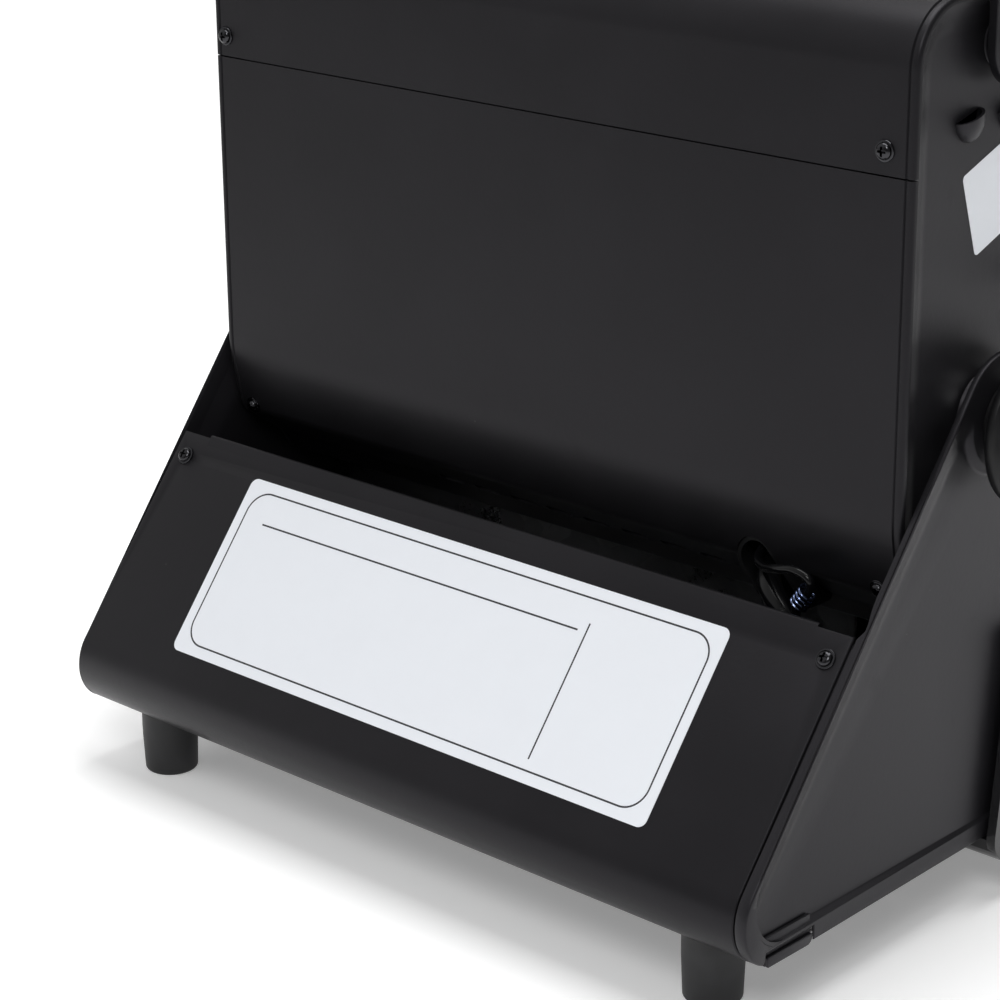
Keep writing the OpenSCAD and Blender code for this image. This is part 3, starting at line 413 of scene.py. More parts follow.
class Finish(Enum):
    """Every finish of the heater."""

    POWDER = PowderCoat()
    # A lighter, shinier copy of the same black powder coat, used only on the stamped side faces: it paints on
    # them the brighter reflection that the sides catch.
    POWDER_SIDE_PAINTED_LIGHTER = PowderCoat("powder_coat_side_painted_lighter", (0.0085, 0.0082, 0.0094), 0.42, shine=0.28)
    GLOSS = Moulding("gloss_moulding", shine=0.6)
    PLASTIC = Moulding("black_plastic", (0.0045, 0.0045, 0.005), 0.42, 0.012, 1.6, 0.25)
    MARK = Moulding("white_mark", (0.75, 0.75, 0.74), 0.4, 0.01)
    FOOT = Rubber(colour=(0.012, 0.012, 0.013))
    HOSE = Rubber("hose_rubber", (0.002, 0.002, 0.0024), 0.2, 0.004, 0.22)
    SCREW = Metal("dark_screw", (0.05, 0.05, 0.054), 0.12)
    STEEL = Metal("bright_steel", (0.60, 0.60, 0.61), 0.24, (0.1, 1.0, 1.0))
    ZINC = Spangle()
    WIRE = Metal("guard_chrome", (0.72, 0.72, 0.73), 0.12)
    BLUED = Metal("blued_wire", (0.13, 0.17, 0.30), 0.14, stain=(0.22, 0.25, 0.34))
    CAST = Metal("cast_zinc", (0.45, 0.46, 0.48), 0.42, grain_mm=0.03)
    BRASS = Metal("brass_fitting", (0.70, 0.50, 0.22), 0.24)
    CERAMIC = Ceramic()
    FIBRE = Fibre()

    def material(self) -> bpy.types.Material:
        """The material, made once."""
        found = bpy.data.materials.get(f"{self.value.name}_finish")
        return found or self.value.made()

    def slot(self) -> str:
        """The model's own slot for this finish, or an empty name."""
        coats = {Finish.POWDER: "black_powder_coat", Finish.POWDER_SIDE_PAINTED_LIGHTER: "black_powder_coat", Finish.MARK: ""}
        return coats.get(self, self.value.name)


SLOTS = {f.slot(): f for f in Finish if f.slot() and f is not Finish.POWDER_SIDE_PAINTED_LIGHTER}


# ---- Outlines -------------------------------------------------------------------------------


def unit(v: np.ndarray) -> np.ndarray:
    """v at length one."""
    return v / np.linalg.norm(v)


def left_of(v: np.ndarray) -> np.ndarray:
    """v turned a quarter turn to the left."""
    return np.array([-v[1], v[0]])


def spun(v: np.ndarray, angle: float) -> np.ndarray:
    """v turned by an angle in radians."""
    c, s = math.cos(angle), math.sin(angle)
    return np.array([v[0] * c - v[1] * s, v[0] * s + v[1] * c])


def aimed(angle: float) -> np.ndarray:
    """The flat direction at an angle in radians."""
    return np.array([math.cos(angle), math.sin(angle)])


def full_turn(count: int) -> np.ndarray:
    """The angles of so many even steps of a full turn."""
    return np.arange(count) * 2 * math.pi / count


def turn_at(a: np.ndarray, b: np.ndarray, c: np.ndarray) -> float:
    """The signed turn at b on the way from a to c, in radians."""
    u, v = b - a, c - b
    return math.atan2(u[0] * v[1] - u[1] * v[0], float(u @ v))


def corner_arc(a: np.ndarray, b: np.ndarray, c: np.ndarray, radius: float, count: int) -> list[np.ndarray]:
    """Corner b as count + 1 points on an arc, or as one point where count is 0."""
    if count == 0:
        return [b]
    turn = turn_at(a, b, c)
    u = unit(b - a)
    start = b - u * radius * math.tan(abs(turn) / 2)
    centre = start + math.copysign(1.0, turn) * radius * left_of(u)
    return [centre + spun(start - centre, turn * k / count) for k in range(count + 1)]


@dataclass(frozen=True)
class Path:
    """A line with rounded corners. Its copies moved to the left keep its number of points."""

    points: tuple[Flat, ...]
    radii: tuple[float, ...]
    closed: bool = False
    step: float = 4.0

    def _counts(self) -> list[int]:
        """Arc steps at each corner."""
        p = [np.array(q, float) for q in self.points]
        n = len(p)
        counts = []
        for i in range(n):
            ends = not self.closed and i in (0, n - 1)
            turn = 0.0 if ends else abs(turn_at(p[i - 1], p[i], p[(i + 1) % n]))
            soft = self.radii[i] > 0.01 and turn > 0.02
            counts.append(max(2, math.ceil(math.degrees(turn) / self.step)) if soft else 0)
        return counts

    def moved(self, depth: float = 0.0) -> np.ndarray:
        """The line moved to its left by a depth.

        Args:
            depth: Distance in millimetres.

        Returns:
            Its points, one row each.
        """
        p = [np.array(q, float) for q in self.points]
        n = len(p)
        corners = []
        for i in range(n):
            before = p[i] - p[i - 1] if self.closed or i > 0 else p[1] - p[0]
            after = p[(i + 1) % n] - p[i] if self.closed or i < n - 1 else p[-1] - p[-2]
            u, v = left_of(unit(before)), left_of(unit(after))
            m = unit(u + v)
            corners.append(p[i] + m * depth / float(m @ u))
        out: list[np.ndarray] = []
        for i, count in enumerate(self._counts()):
            a, b, c = corners[i - 1], corners[i], corners[(i + 1) % n]
            if count == 0:
                out.append(b)
                continue
            turn = turn_at(p[i - 1], p[i], p[(i + 1) % n])
            radius = max(0.05, self.radii[i] - depth * math.copysign(1.0, turn))
            out += corner_arc(a, b, c, radius, count)
        return np.array(out)


def rounded_box(low: Flat, high: Flat, radius: float, step: float = 10.0) -> Path:
    """A rectangle with rounded corners, drawn to the left."""
    points = ((low[0], low[1]), (high[0], low[1]), (high[0], high[1]), (low[0], high[1]))
    return Path(points, (radius,) * 4, True, step)


# ---- Meshes ---------------------------------------------------------------------------------


class Shape:
    """Vertices and faces in millimetres that grow into one mesh."""

    def __init__(self) -> None:
        """Starts empty."""
        self.vertices: list[Flat] = []
        self.faces: list[tuple[int, ...]] = []

    def add(self, vertices: Iterable[Flat], faces: Iterable[Sequence[int]]) -> "Shape":
        """Adds vertices, and faces that count from the first of them."""
        base = len(self.vertices)
        self.vertices += [tuple(float(c) for c in v) for v in vertices]
        self.faces += [tuple(base + i for i in f) for f in faces]
        return self

    def join(self, other: "Shape") -> "Shape":
        """Adds another shape."""
        return self.add(other.vertices, other.faces)

    def placed(self, matrix: Matrix) -> "Shape":
        """A copy moved by a matrix in millimetres."""
        made = Shape()
        made.vertices = [tuple(matrix @ Vector(v)) for v in self.vertices]
        made.faces = list(self.faces)
        return made

    def on(self, side: int) -> "Shape":
        """This shape on the left, or its mirror image on the right."""
        if side > 0:
            return self
        made = Shape()
        made.vertices = [(-x, y, z) for x, y, z in self.vertices]
        made.faces = [tuple(reversed(f)) for f in self.faces]
        return made

    @staticmethod
    def solid(rows: Sequence[np.ndarray]) -> "Shape":
        """A closed solid through closed rows of points."""
        return Shape.rows(rows, around=True, caps=True)

    @staticmethod
    def rows(
        rows: Sequence[np.ndarray], around: bool = False, along: bool = False, caps: bool = False
    ) -> "Shape":
        """A skin through rows of points.

        Args:
            rows: Rows of the same number of 3-D points.
            around: Whether each row closes on itself.
            along: Whether the last row joins the first.
            caps: Whether the first and last row are closed by one face each.

        Returns:
            The shape.
        """
        n = len(rows[0])
        faces = []
        for i in range(len(rows) if along else len(rows) - 1):
            j = (i + 1) % len(rows)
            for k in range(n if around else n - 1):
                m = (k + 1) % n
                faces.append((i * n + k, i * n + m, j * n + m, j * n + k))
        if caps:
            faces.append(tuple(reversed(range(n))))
            faces.append(tuple(range((len(rows) - 1) * n, len(rows) * n)))
        return Shape().add([p for row in rows for p in row], faces)


def at_x(points: np.ndarray, x: float | np.ndarray) -> np.ndarray:
    """Outline points (y, z) as 3-D points at x."""
    out = np.empty((len(points), 3))
    out[:, 0] = x
    out[:, 1:] = points
    return out


def folded_sheet(path: Path, section: Sequence[Flat]) -> Shape:
    """A sheet that follows a path, with a closed section of (x, depth) points.

    Args:
        path: The outer face's line in (y, z).
        section: The section's closed outline; depth counts from the outer face.

    Returns:
        The closed shape.
    """
    moved = {d: path.moved(d) for d in {round(float(s[1]), 4) for s in section}}
    stack = np.array([at_x(moved[round(float(d), 4)], x) for x, d in section])
    return Shape.solid([stack[:, i] for i in range(stack.shape[1])])


def tray_section(half: float, flange: float, thickness: float, bend: float = 2.0) -> list[Flat]:
    """Section of a sheet with both sides folded back and rounded, and a fine groove beside each fold.

    Args:
        half: Half the width over the folds.
        flange: How far the sides reach back.
        thickness: The sheet's thickness.
        bend: Outer radius of the folds.

    Returns:
        (x, depth) points of the closed section.
    """
    groove = tuple((half - inset, sunk) for inset, sunk in ((2.1, 0.0), (2.5, 0.55), (2.9, 0.55), (3.3, 0.0)))
    fold = ((half, flange), (half, 0.0))
    line = (*fold, *groove)
    both = line + tuple((-x, d) for x, d in line[::-1])
    outer = Path(both, (0, bend - 0.3, *(0,) * 8, bend - 0.3, 0), step=15)
    flat = Path((*fold, (-half, 0.0), (-half, flange)), (0, bend, bend, 0), step=15)
    return [tuple(p) for p in (*outer.moved(), *flat.moved(-thickness)[::-1])]


def revolved(profile: Sequence[Flat], count: int = 48) -> Shape:
    """A solid of revolution about +Z from (radius, height) points, closed at the axis by its ends."""
    a = full_turn(count)
    rows = [np.column_stack([r * np.cos(a), r * np.sin(a), np.full(count, h)]) for r, h in profile]
    return Shape.solid(rows)


def axis_frame(origin: Flat, axis: Flat) -> Matrix:
    """The matrix that takes +Z at the origin to an axis at a place."""
    turn = Vector((0, 0, 1)).rotation_difference(Vector(axis)).to_matrix().to_4x4()
    return Matrix.Translation(Vector(origin)) @ turn


def block(low: Flat, high: Flat) -> Shape:
    """A box between two corners."""
    (x0, y0, z0), (x1, y1, z1) = low, high
    ring = [(x0, y0), (x1, y0), (x1, y1), (x0, y1)]
    return Shape.solid([np.array([(*p, z) for p in ring]) for z in (z0, z1)])


def prism_x(outline: np.ndarray, x0: float, x1: float) -> Shape:
    """A (y, z) outline carried along X."""
    return Shape.solid([at_x(outline, x0), at_x(outline, x1)])


def prism_y(outline: np.ndarray, y0: float, y1: float) -> Shape:
    """An (x, z) outline carried along Y."""
    return Shape.solid([np.insert(outline, 1, y, axis=1) for y in (y0, y1)])


def swept_tube(route: np.ndarray, radius: float | Sequence[float], sides: int = 16) -> Shape:
    """A round tube along a route, with its frame carried along without twist."""
    count = len(route)
    radii = np.full(count, radius) if isinstance(radius, (int, float)) else np.array(radius)
    ways = np.gradient(route, axis=0)
    ways /= np.linalg.norm(ways, axis=1)[:, None]
    side = np.cross(ways[0], [0.3, 0.2, 1.0])
    side /= np.linalg.norm(side)
    rows = []
    angles = full_turn(sides)
    for point, way, r in zip(route, ways, radii):
        side = side - way * float(side @ way)
        side /= np.linalg.norm(side)
        rise = np.cross(way, side)
        rows.append(point + r * (np.cos(angles)[:, None] * side + np.sin(angles)[:, None] * rise))
    return Shape.solid(rows)


def smooth_route(points: Sequence[Flat], parts: int) -> np.ndarray:
    """A smooth line through points, with so many steps between each two."""
    p = np.array(points, float)
    ends = np.vstack([p[0], p, p[-1]])
    out = []
    for i in range(len(p) - 1):
        a, b, c, d = ends[i : i + 4]
        for k in range(parts):
            t = k / parts
            curve = (2 * a - 5 * b + 4 * c - d) * t**2 + (3 * b - a - 3 * c + d) * t**3
            out.append(0.5 * (2 * b + (c - a) * t + curve))
    return np.array([*out, p[-1]])


# ---- Pieces ---------------------------------------------------------------------------------


@dataclass
class Piece:
    """One visible piece: a mesh that rides on a body and may stand for nodes of the model."""

    name: str
    shape: Shape
    finish: Finish | RuledPlate
    body: str
    replaces: tuple[str, ...] = ()
    sharp: float = SHARP
    bevel: float = 0.0
    cutters: list[Shape] = field(default_factory=list)

    def made(self) -> bpy.types.Object:
        """The finished object, with its cuts and eased edges, given to its body."""
        obj = mesh_object(self.name, self.shape)
        tools = [mesh_object(f"{self.name}_cutter{i}", c) for i, c in enumerate(self.cutters)]
        for tool in tools:
            cut_by(obj, tool)
        if self.bevel:
            ease(obj, self.bevel)
        settle(obj)
        for tool in tools:
            bpy.data.objects.remove(tool)
        return dressed(obj, self.finish, self.body, self.replaces, self.sharp)


def linked(name: str, data: bpy.types.ID) -> bpy.types.Object:
    """A new object in the scene."""
    obj = bpy.data.objects.new(name, data)
    bpy.context.scene.collection.objects.link(obj)
    return obj


def mesh_object(name: str, shape: Shape, weld: float = WELD, recalc: bool = True) -> bpy.types.Object:
    """A linked object from a shape in millimetres."""
    mesh = bpy.data.meshes.new(name)
    mesh.from_pydata([tuple(c * MM for c in v) for v in shape.vertices], [], shape.faces)
    bm = bmesh.new()
    bm.from_mesh(mesh)
    bmesh.ops.remove_doubles(bm, verts=bm.verts, dist=weld * MM)
    if recalc:
        bmesh.ops.recalc_face_normals(bm, faces=bm.faces)
    bm.to_mesh(mesh)
    bm.free()
    mesh.validate()
    return linked(name, mesh)


def cut_by(obj: bpy.types.Object, tool: bpy.types.Object) -> None:
    """Adds a cut by another object."""
    cut = obj.modifiers.new("cut", "BOOLEAN")
    cut.object, cut.operation, cut.solver = tool, "DIFFERENCE", "EXACT"


def carve(obj: bpy.types.Object, shape: Shape) -> None:
    """Cuts a shape out of an object at once."""
    tool = mesh_object("cutter", shape)
    cut_by(obj, tool)
    settle(obj)
    bpy.data.objects.remove(tool)


def ease(obj: bpy.types.Object, width: float) -> None:
    """Adds a round in two steps to every sharp edge."""
    edge = obj.modifiers.new("edge", "BEVEL")
    edge.width, edge.segments = width * MM, 2
    edge.limit_method, edge.angle_limit = "ANGLE", math.radians(EASE_OVER)


def settle(obj: bpy.types.Object) -> None:
    """Replaces an object's mesh by its evaluated one and drops its modifiers."""
    if not obj.modifiers:
        return
    graph = bpy.context.evaluated_depsgraph_get()
    graph.update()
    made = bpy.data.meshes.new_from_object(obj.evaluated_get(graph))
    obj.modifiers.clear()
    obj.data = made


def dressed(
    obj: bpy.types.Object,
    finish: Finish | RuledPlate,
    body: str,
    replaces: Sequence[str] = (),
    sharp: float = SHARP,
) -> bpy.types.Object:
    """Gives an object its finish, shading, body and nodes."""
    known = isinstance(finish, Finish)
    slot = finish.slot() if known else ""
    mesh = obj.data
    mesh.materials.clear()
    mesh.materials.append(finish.material() if known else finish.made())
    mesh.shade_smooth()
    mesh.set_sharp_from_angle(angle=math.radians(sharp))
    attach(obj, body)
    if replaces:
        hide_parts(*replaces)
    LOG.info("%s: %d faces on %s", obj.name, len(mesh.polygons), body)
    return obj


def softened(
    node: str, finish: Finish, body: str, bevel: float = 0.3, sharp: float = SHARP
) -> bpy.types.Object:
    """A welded copy of a node with eased edges, standing for it.

    Args:
        node: The node's name.
        finish: Its finish.
        body: The body that it rides on.
        bevel: Width of its eased edges in millimetres.
        sharp: Angle over which an edge stays crisp, in degrees.

    Returns:
        The finished object.
    """
    mesh = bpy.data.objects[node].data.copy()
    bm = bmesh.new()
    bm.from_mesh(mesh)
    bmesh.ops.remove_doubles(bm, verts=bm.verts, dist=NODE_WELD * MM)
    bmesh.ops.dissolve_limit(bm, angle_limit=math.radians(FLAT_UNDER), verts=bm.verts, edges=bm.edges)
    bm.to_mesh(mesh)
    bm.free()
    obj = linked(f"{node}_eased", mesh)
    if bevel:
        ease(obj, bevel)
        settle(obj)
        flatten_normals(obj, sharp)
    return dressed(obj, finish, body, (node,), sharp=sharp)


def flatten_normals(obj: bpy.types.Object, sharp: float) -> None:
    """Turns the normals beside eased edges to those of the large faces, so that flat faces shade flat."""
    obj.data.shade_smooth()
    obj.data.set_sharp_from_angle(angle=math.radians(sharp))
    turn = obj.modifiers.new("normals", "WEIGHTED_NORMAL")
    turn.mode, turn.weight, turn.keep_sharp = "FACE_AREA", 60, True
    settle(obj)


# ---- Geometry node rules --------------------------------------------------------------------


class Rule(Tree):
    """A geometry node group with named number inputs, run once into a plain mesh."""

    def __init__(self, name: str, inputs: dict[str, float]) -> None:
        """Makes the group, its input sockets and its two ends."""
        group = bpy.data.node_groups.new(name, "GeometryNodeTree")
        super().__init__(group)
        for way in ("INPUT", "OUTPUT"):
            group.interface.new_socket("Geometry", in_out=way, socket_type="NodeSocketGeometry")
        self.values = inputs
        for key in inputs:
            group.interface.new_socket(key, in_out="INPUT", socket_type="NodeSocketFloat")
        self.start = self.add("NodeGroupInput").outputs

    def out(
        self, geometry: bpy.types.NodeSocket, finish: Finish, source: bpy.types.Object
    ) -> bpy.types.Mesh:
        """Closes the tree and runs it on an object.

        Args:
            geometry: The last geometry.
            finish: The finish set on the result.
            source: The object that carries the input geometry; it is removed.

        Returns:
            The result as a plain mesh.
        """
        solid = self.add("GeometryNodeRealizeInstances", {0: geometry}).outputs[0]
        painted = self.add("GeometryNodeSetMaterial", {"Geometry": solid, "Material": finish.material()})
        self.add("NodeGroupOutput", {0: painted.outputs[0]})
        run = source.modifiers.new("rule", "NODES")
        run.node_group = self.nodes
        for item in self.nodes.interface.items_tree:
            if item.in_out == "INPUT" and item.name in self.values:
                run[item.identifier] = self.values[item.name]
        graph = bpy.context.evaluated_depsgraph_get()
        graph.update()
        mesh = bpy.data.meshes.new_from_object(source.evaluated_get(graph))
        source.modifiers.remove(run)
        bpy.data.objects.remove(source)
        return mesh


def scattered(name: str, seats: Sequence[tuple[Flat, Flat]], part: Shape, finish: Finish) -> bpy.types.Mesh:
    """One shape set on each seat by a geometry node rule.

    Args:
        name: The name of the piece that the copies make.
        seats: The place and the facing of each copy, in millimetres.
        part: The shape, standing on the origin and facing +Z.
        finish: Its finish.

    Returns:
        The realised mesh.
    """
    points = bpy.data.meshes.new(f"{name}_seats")
    points.from_pydata([tuple(c * MM for c in place) for place, _ in seats], [], [])
    facing = points.attributes.new("facing", "FLOAT_VECTOR", "POINT")
    facing.data.foreach_set("vector", [c for _, way in seats for c in Vector(way).normalized()])
    source = linked(f"{name}_seats", points)
    model = mesh_object(f"{name}_model", part)
    model.data.shade_smooth()
    rule = Rule(f"{name}_rule", {"Size": 1.0})
    way = rule.add("GeometryNodeInputNamedAttribute", {"Name": "facing"}, data_type="FLOAT_VECTOR")
    turn = rule.add("FunctionNodeAlignRotationToVector", {"Vector": way.outputs[0]}, axis="Z")
    inputs = {
        "Points": rule.add("GeometryNodeMeshToPoints", {"Mesh": rule.start["Geometry"]}).outputs[0],
        "Instance": rule.add("GeometryNodeObjectInfo", {"Object": model}).outputs["Geometry"],
        "Rotation": turn.outputs[0],
        "Scale": rule.start["Size"],
    }
    copies = rule.add("GeometryNodeInstanceOnPoints", inputs)
    mesh = rule.out(copies.outputs[0], finish, source)
    bpy.data.objects.remove(model)
    return mesh


def mesh_piece(
    name: str, mesh: bpy.types.Mesh, finish: Finish, body: str, replaces: Sequence[str] = (),
    sharp: float = SHARP,
) -> bpy.types.Object:
    """A finished piece from a ready mesh."""
    mesh.name = name
    return dressed(linked(name, mesh), finish, body, replaces, sharp)


# ---- Small hardware -------------------------------------------------------------------------


@dataclass(frozen=True)
class CrossScrew:
    """A pan-head screw with a cross recess, standing on its seat."""

    radius: float = 3.0
    height: float = 2.0
    washer: float = 0.0

    def shape(self) -> Shape:
        """The head's shape in millimetres."""
        r, h = self.radius, self.height
        profile = [(r * 0.96, -0.2), (r, 0.1), (r, 0.35), (r * 0.97, 0.5), (r * 0.86, 0.62), (r * 0.8, 0.6)]
        for a in np.linspace(0.12, 1.2, 8):
            profile.append((r * 0.8 * math.cos(a) ** 0.7, 0.6 + (h - 0.6) * math.sin(a)))
        profile += [(r * 0.12, h), (0.001, h)]
        obj = mesh_object("screw_body", revolved(profile, 32))
        long, wide = r * 0.58, 0.46
        arm = [(-long, -wide), (long, -wide), (long, wide), (-long, wide)]
        foot = [(x * 0.45, y * 0.6, h * 0.35) for x, y in arm]
        recess = Shape.solid([np.array(foot), np.array([(x, y, h + 0.5) for x, y in arm])])
        for turn in (0, 90):
            carve(obj, recess.placed(Matrix.Rotation(math.radians(turn), 4, "Z")))
        made = Shape().add(
            [tuple(c / MM for c in v.co) for v in obj.data.vertices],
            [tuple(p.vertices) for p in obj.data.polygons],
        )
        bpy.data.objects.remove(obj)
        if self.washer:
            w = self.washer
            made.join(revolved([(w * 0.5, -0.1), (w, -0.1), (w, 0.35), (w - 0.2, 0.5), (w * 0.5, 0.5)], 32))
        return made


# ---- Base -----------------------------------------------------------------------------------

SLOPE = math.radians(51.6)
DOWN = np.array([math.cos(SLOPE), -math.sin(SLOPE)])
OUT = np.array([math.sin(SLOPE), math.cos(SLOPE)])
PANEL_TOP = np.array([56.9, 113.8])
PIVOT = np.array([-11.3, 166.0])
PIVOT_BORE = 4.06
PANEL_SCREW_X = 143.2
PANEL_SCREW_DOWN = 8.8
PANEL_FOOT_Z = 22.9
SCREW_BORE = 1.75
ROLL_R = 16.0


def on_slope(x: float, down: float, lift: float = 0.0) -> tuple[float, float, float]:
    """A point of the sloping panel, from its place across, down the slope and above the sheet."""
    y, z = PANEL_TOP + DOWN * down + OUT * lift
    return float(x), float(y), float(z)


def panel_seats() -> list[tuple[Flat, Flat]]:
    """The places and facings of the two screws in the sloping panel."""
    return [(on_slope(side * PANEL_SCREW_X, PANEL_SCREW_DOWN), (0, *OUT)) for side in (-1, 1)]


@dataclass
class RearPanel:
    """The sloping sheet with its roll, its hem, its blank label and its screw holes."""

    half: float = 149.2
    thickness: float = 1.2
    roll_corner: Flat = (128.92, PANEL_FOOT_Z)
    hem_half: float = 135.8
    hem_up: float = 1.5
    label_x: tuple[float, float] = (-108.1, 106.8)
    label_down: tuple[float, float] = (8.9, 75.4)

    def build(self) -> None:
        """Builds and dresses the panel."""
        path = Path(((60.0, PANEL_FOOT_Z), self.roll_corner, tuple(PANEL_TOP)), (0, ROLL_R, 0), step=3)
        h, t, e = self.half, self.thickness, 0.4
        section = [(h - e, 0.0), (-h + e, 0.0), (-h, e), (-h, t), (h, t), (h, e)]
        sheet = folded_sheet(path, section)
        drill = revolved([(SCREW_BORE, -4), (SCREW_BORE, 4)], 24)
        holes = [drill.placed(axis_frame(*seat)) for seat in panel_seats()]
        node = ("rear_panel",)
        Piece("rear_panel_sheet", sheet, Finish.POWDER, "base", node, cutters=holes, bevel=0.15).made()
        Piece("rear_panel_hem", self._hem(), Finish.POWDER, "base", sharp=50).made()
        self._label()

    def _hem(self) -> Shape:
        """The folded edge along the middle of the top."""
        r, t = 1.2, self.thickness
        ring = [
            (-self.hem_up + r * (1 - math.sin(a)), -t + r * math.cos(a)) for a in np.linspace(0, math.pi, 9)
        ]
        fold = [(3.0, 0.02)] + ring + [(8.0, -2 * t + 0.02), (8.0, -t), (1.0, -t)]
        outline = np.array([PANEL_TOP + DOWN * d + OUT * u for d, u in fold])
        return prism_x(outline, -self.hem_half, self.hem_half)

    def _label(self) -> None:
        """The white plate with its border and rules."""
        (x0, x1), (d0, d1) = self.label_x, self.label_down
        outline = rounded_box((x0, d0), (x1, d1), 3.0).moved()
        rows = [np.array([on_slope(x, d, lift) for x, d in outline]) for lift in (0.0, 0.12)]
        plate = RuledPlate(
            name="blank_label",
            centre=((x0 + x1) / 2, (d0 + d1) / 2),
            half=((x1 - x0) / 2 - 4.0, (d1 - d0) / 2 - 4.0),
            corner=8.0,
            rules=((93.3, -18.2, -52.5, -18.2), (-56.4, -21.0, -56.4, 25.3)),
            down=tuple(DOWN),
            top=tuple(PANEL_TOP),
        )
        Piece("blank_label", Shape.solid(rows), plate, "base").made()


@dataclass
class SidePlate:
    """One stamped side of the base, with a soft-edged recess and folded edges.

    edge_change and wing_inset give the left plate's value, then the right one's. sink pairs places down
    the slope with how far the left plate's edge lies behind it there, and lip pairs them with where the
    right plate's fold ends.
    """

    side: int
    outer: float = 153.0
    thickness: float = 1.2
    depth: float = 2.6
    border: float = 0.6
    low_border: float = 6.2
    gap: float = 0.3
    ramp: float = 10.0
    land: float = 15.5
    left_border: float = 7.0
    corner: float = 6.0
    overlap: float = 14.0
    edge_change: Flat = (-1.8, 0.9)
    edge_rise: Flat = (-24.0, -10.0)
    edge_reach: Flat = (26.0, 52.0)
    foot_change: float = -2.0
    foot_y: Flat = (78.0, 70.0)
    foot_z: Flat = (34.0, 30.0)
    wing_down: Flat = (3.5, 76.0)
    wing_lift: Flat = (-1.2, -2.4)
    wing_inset: Flat = (4.4, 0.4)
    sink: tuple[Flat, ...] = (
        (-60, 0), (-44, 6.2), (-14.1, 6.2), (-13.9, 6.8), (-3, 6.8), (0, 2.4), (90, 2.4), (120, 0),
    )
    lip: tuple[Flat, ...] = (
        (-200, 150.85), (-13, 150.9), (-9, 151.2), (-5.8, 151.8), (-2.9, 152.1), (-0.8, 151.0), (0.4, 150.4),
        (50, 150.3), (78, 149.9), (200, 149.8),
    )
    tab_y: Flat = (78.0, 99.6)
    tab_z: Flat = (22.6, 26.0)

    def _corners(self) -> list[np.ndarray]:
        """The plate's corners before rounding: front, rear and tip."""
        lean, slope_turn = math.radians(165), math.pi / 2 - SLOPE
        tip = PIVOT + self._apex() / math.cos((lean - slope_turn) / 2) * aimed((lean + slope_turn) / 2)
        return [np.array([PIVOT[0] - 60, 24.3]), np.array([128.92 + 0.6, PANEL_FOOT_Z - self.gap]), tip]

    def _apex(self) -> float:
        """Radius of the plate's round tip about the pivot."""
        return float((PANEL_TOP - PIVOT) @ OUT) + self.gap

    def ring(self, depth: float = 0.0) -> np.ndarray:
        """The plate's outline moved inwards, always with the same number of points.

        Args:
            depth: Distance in millimetres.

        Returns:
            Its (y, z) points, counter-clockwise from the front corner, with the gap over the tab.
        """
        ring = self._full_ring(depth)
        return np.array([self._sunk(p) for p in ring]) if self.side > 0 else ring

    def _sunk(self, p: np.ndarray) -> np.ndarray:
        """A point of the left plate, which stays behind the sloping panel and below its line above it."""
        down, rise = float((p - PANEL_TOP) @ DOWN), float((p - PANEL_TOP) @ OUT)
        sink = float(np.interp(down, *zip(*self.sink)))
        return p - OUT * sink * smooth(rise, -30, -18)

    def _full_ring(self, depth: float) -> np.ndarray:
        """The outline of the plate that stands proud of the sloping panel."""
        front, rear, tip = _moved_corners(self._corners(), (depth,) * 3)
        y0, y1, top = self.tab_y[0] - 1 - depth, self.tab_y[1] + 1 + depth, self.tab_z[1] + 2 + depth
        low = float(np.interp(y0, (front[0], rear[0]), (front[1], rear[1])))
        radius = ROLL_R + self.gap - depth
        lobe = corner_arc(front, rear, tip, radius, 40)
        centre = lobe[0] + radius * left_of(unit(rear - front))
        start = -math.acos((y1 + 1.2 - centre[0]) / radius)
        end = math.atan2(*(lobe[-1] - centre)[::-1])
        arc = [centre + radius * aimed(a) for a in np.linspace(start, end, 34)]
        first = arc[0][1]
        points = corner_arc(tip, front, rear, max(0.3, self.corner - depth), 6)
        notch = ((y0, low), (y0, top), (y1, top), (y1, first + 1.4), (y1 + 0.35, first + 0.4))
        points += [*(np.array(p) for p in notch), *arc]
        return np.array(points + corner_arc(rear, tip, front, self._apex() - depth, 34))

    def _recess(self) -> Callable[[float], np.ndarray]:
        """The recess outline as a function of its inset, always with the same number of points."""
        lines = self._corners()

        # The ramp is full along the slope, and narrow along the foot, the front edge and the land.
        def ring(inset: float) -> np.ndarray:
            """The recess at one inset."""
            d = self.border + inset + (self.left_border if self.side > 0 else 0.0)
            front, rear, tip = _moved_corners(lines, (self.low_border + 0.12 * inset, d, 6.0 + 0.4 * inset))
            land = self.land + 0.3 * inset
            soft = 4.2 - 0.36 * inset
            slope_end = _land_corner(rear, tip, land, soft)
            front_end = _land_corner(front, tip, land, soft, right=True)
            points = corner_arc(tip, front, rear, self.corner - 0.4 * inset, 8)
            points += corner_arc(front, rear, tip, max(4.0, ROLL_R + self.gap - d), 30)
            ends = (slope_end[-1] - PIVOT, front_end[-1] - PIVOT)
            a0, a1 = (math.atan2(*v[::-1]) % (2 * math.pi) for v in ends)
            if a0 < a1:
                a0 += 2 * math.pi
            arc = [PIVOT + land * aimed(a) for a in np.linspace(a0, a1, 26)[1:-1]]
            return np.array([*points, *slope_end, *arc, *front_end[::-1]])

        return ring

    def build(self) -> None:
        """Builds and dresses the plate."""
        hole = _circle(PIVOT, PIVOT_BORE, 32)
        skin = stamped_skin(self.ring, self._recess(), self.depth, self.ramp, [hole], self.outer)
        edge = Shape() if self.side > 0 else self._lip()
        folds = edge.join(self._wing()).join(self._tab()).on(self.side)
        name = f"side_plate_{HANDS[self.side]}"
        inward = Vector((-self.side, 0, 0))
        plate = solid_sheet(f"{name}_skin", self._pressed(skin).on(self.side), self.thickness, inward)
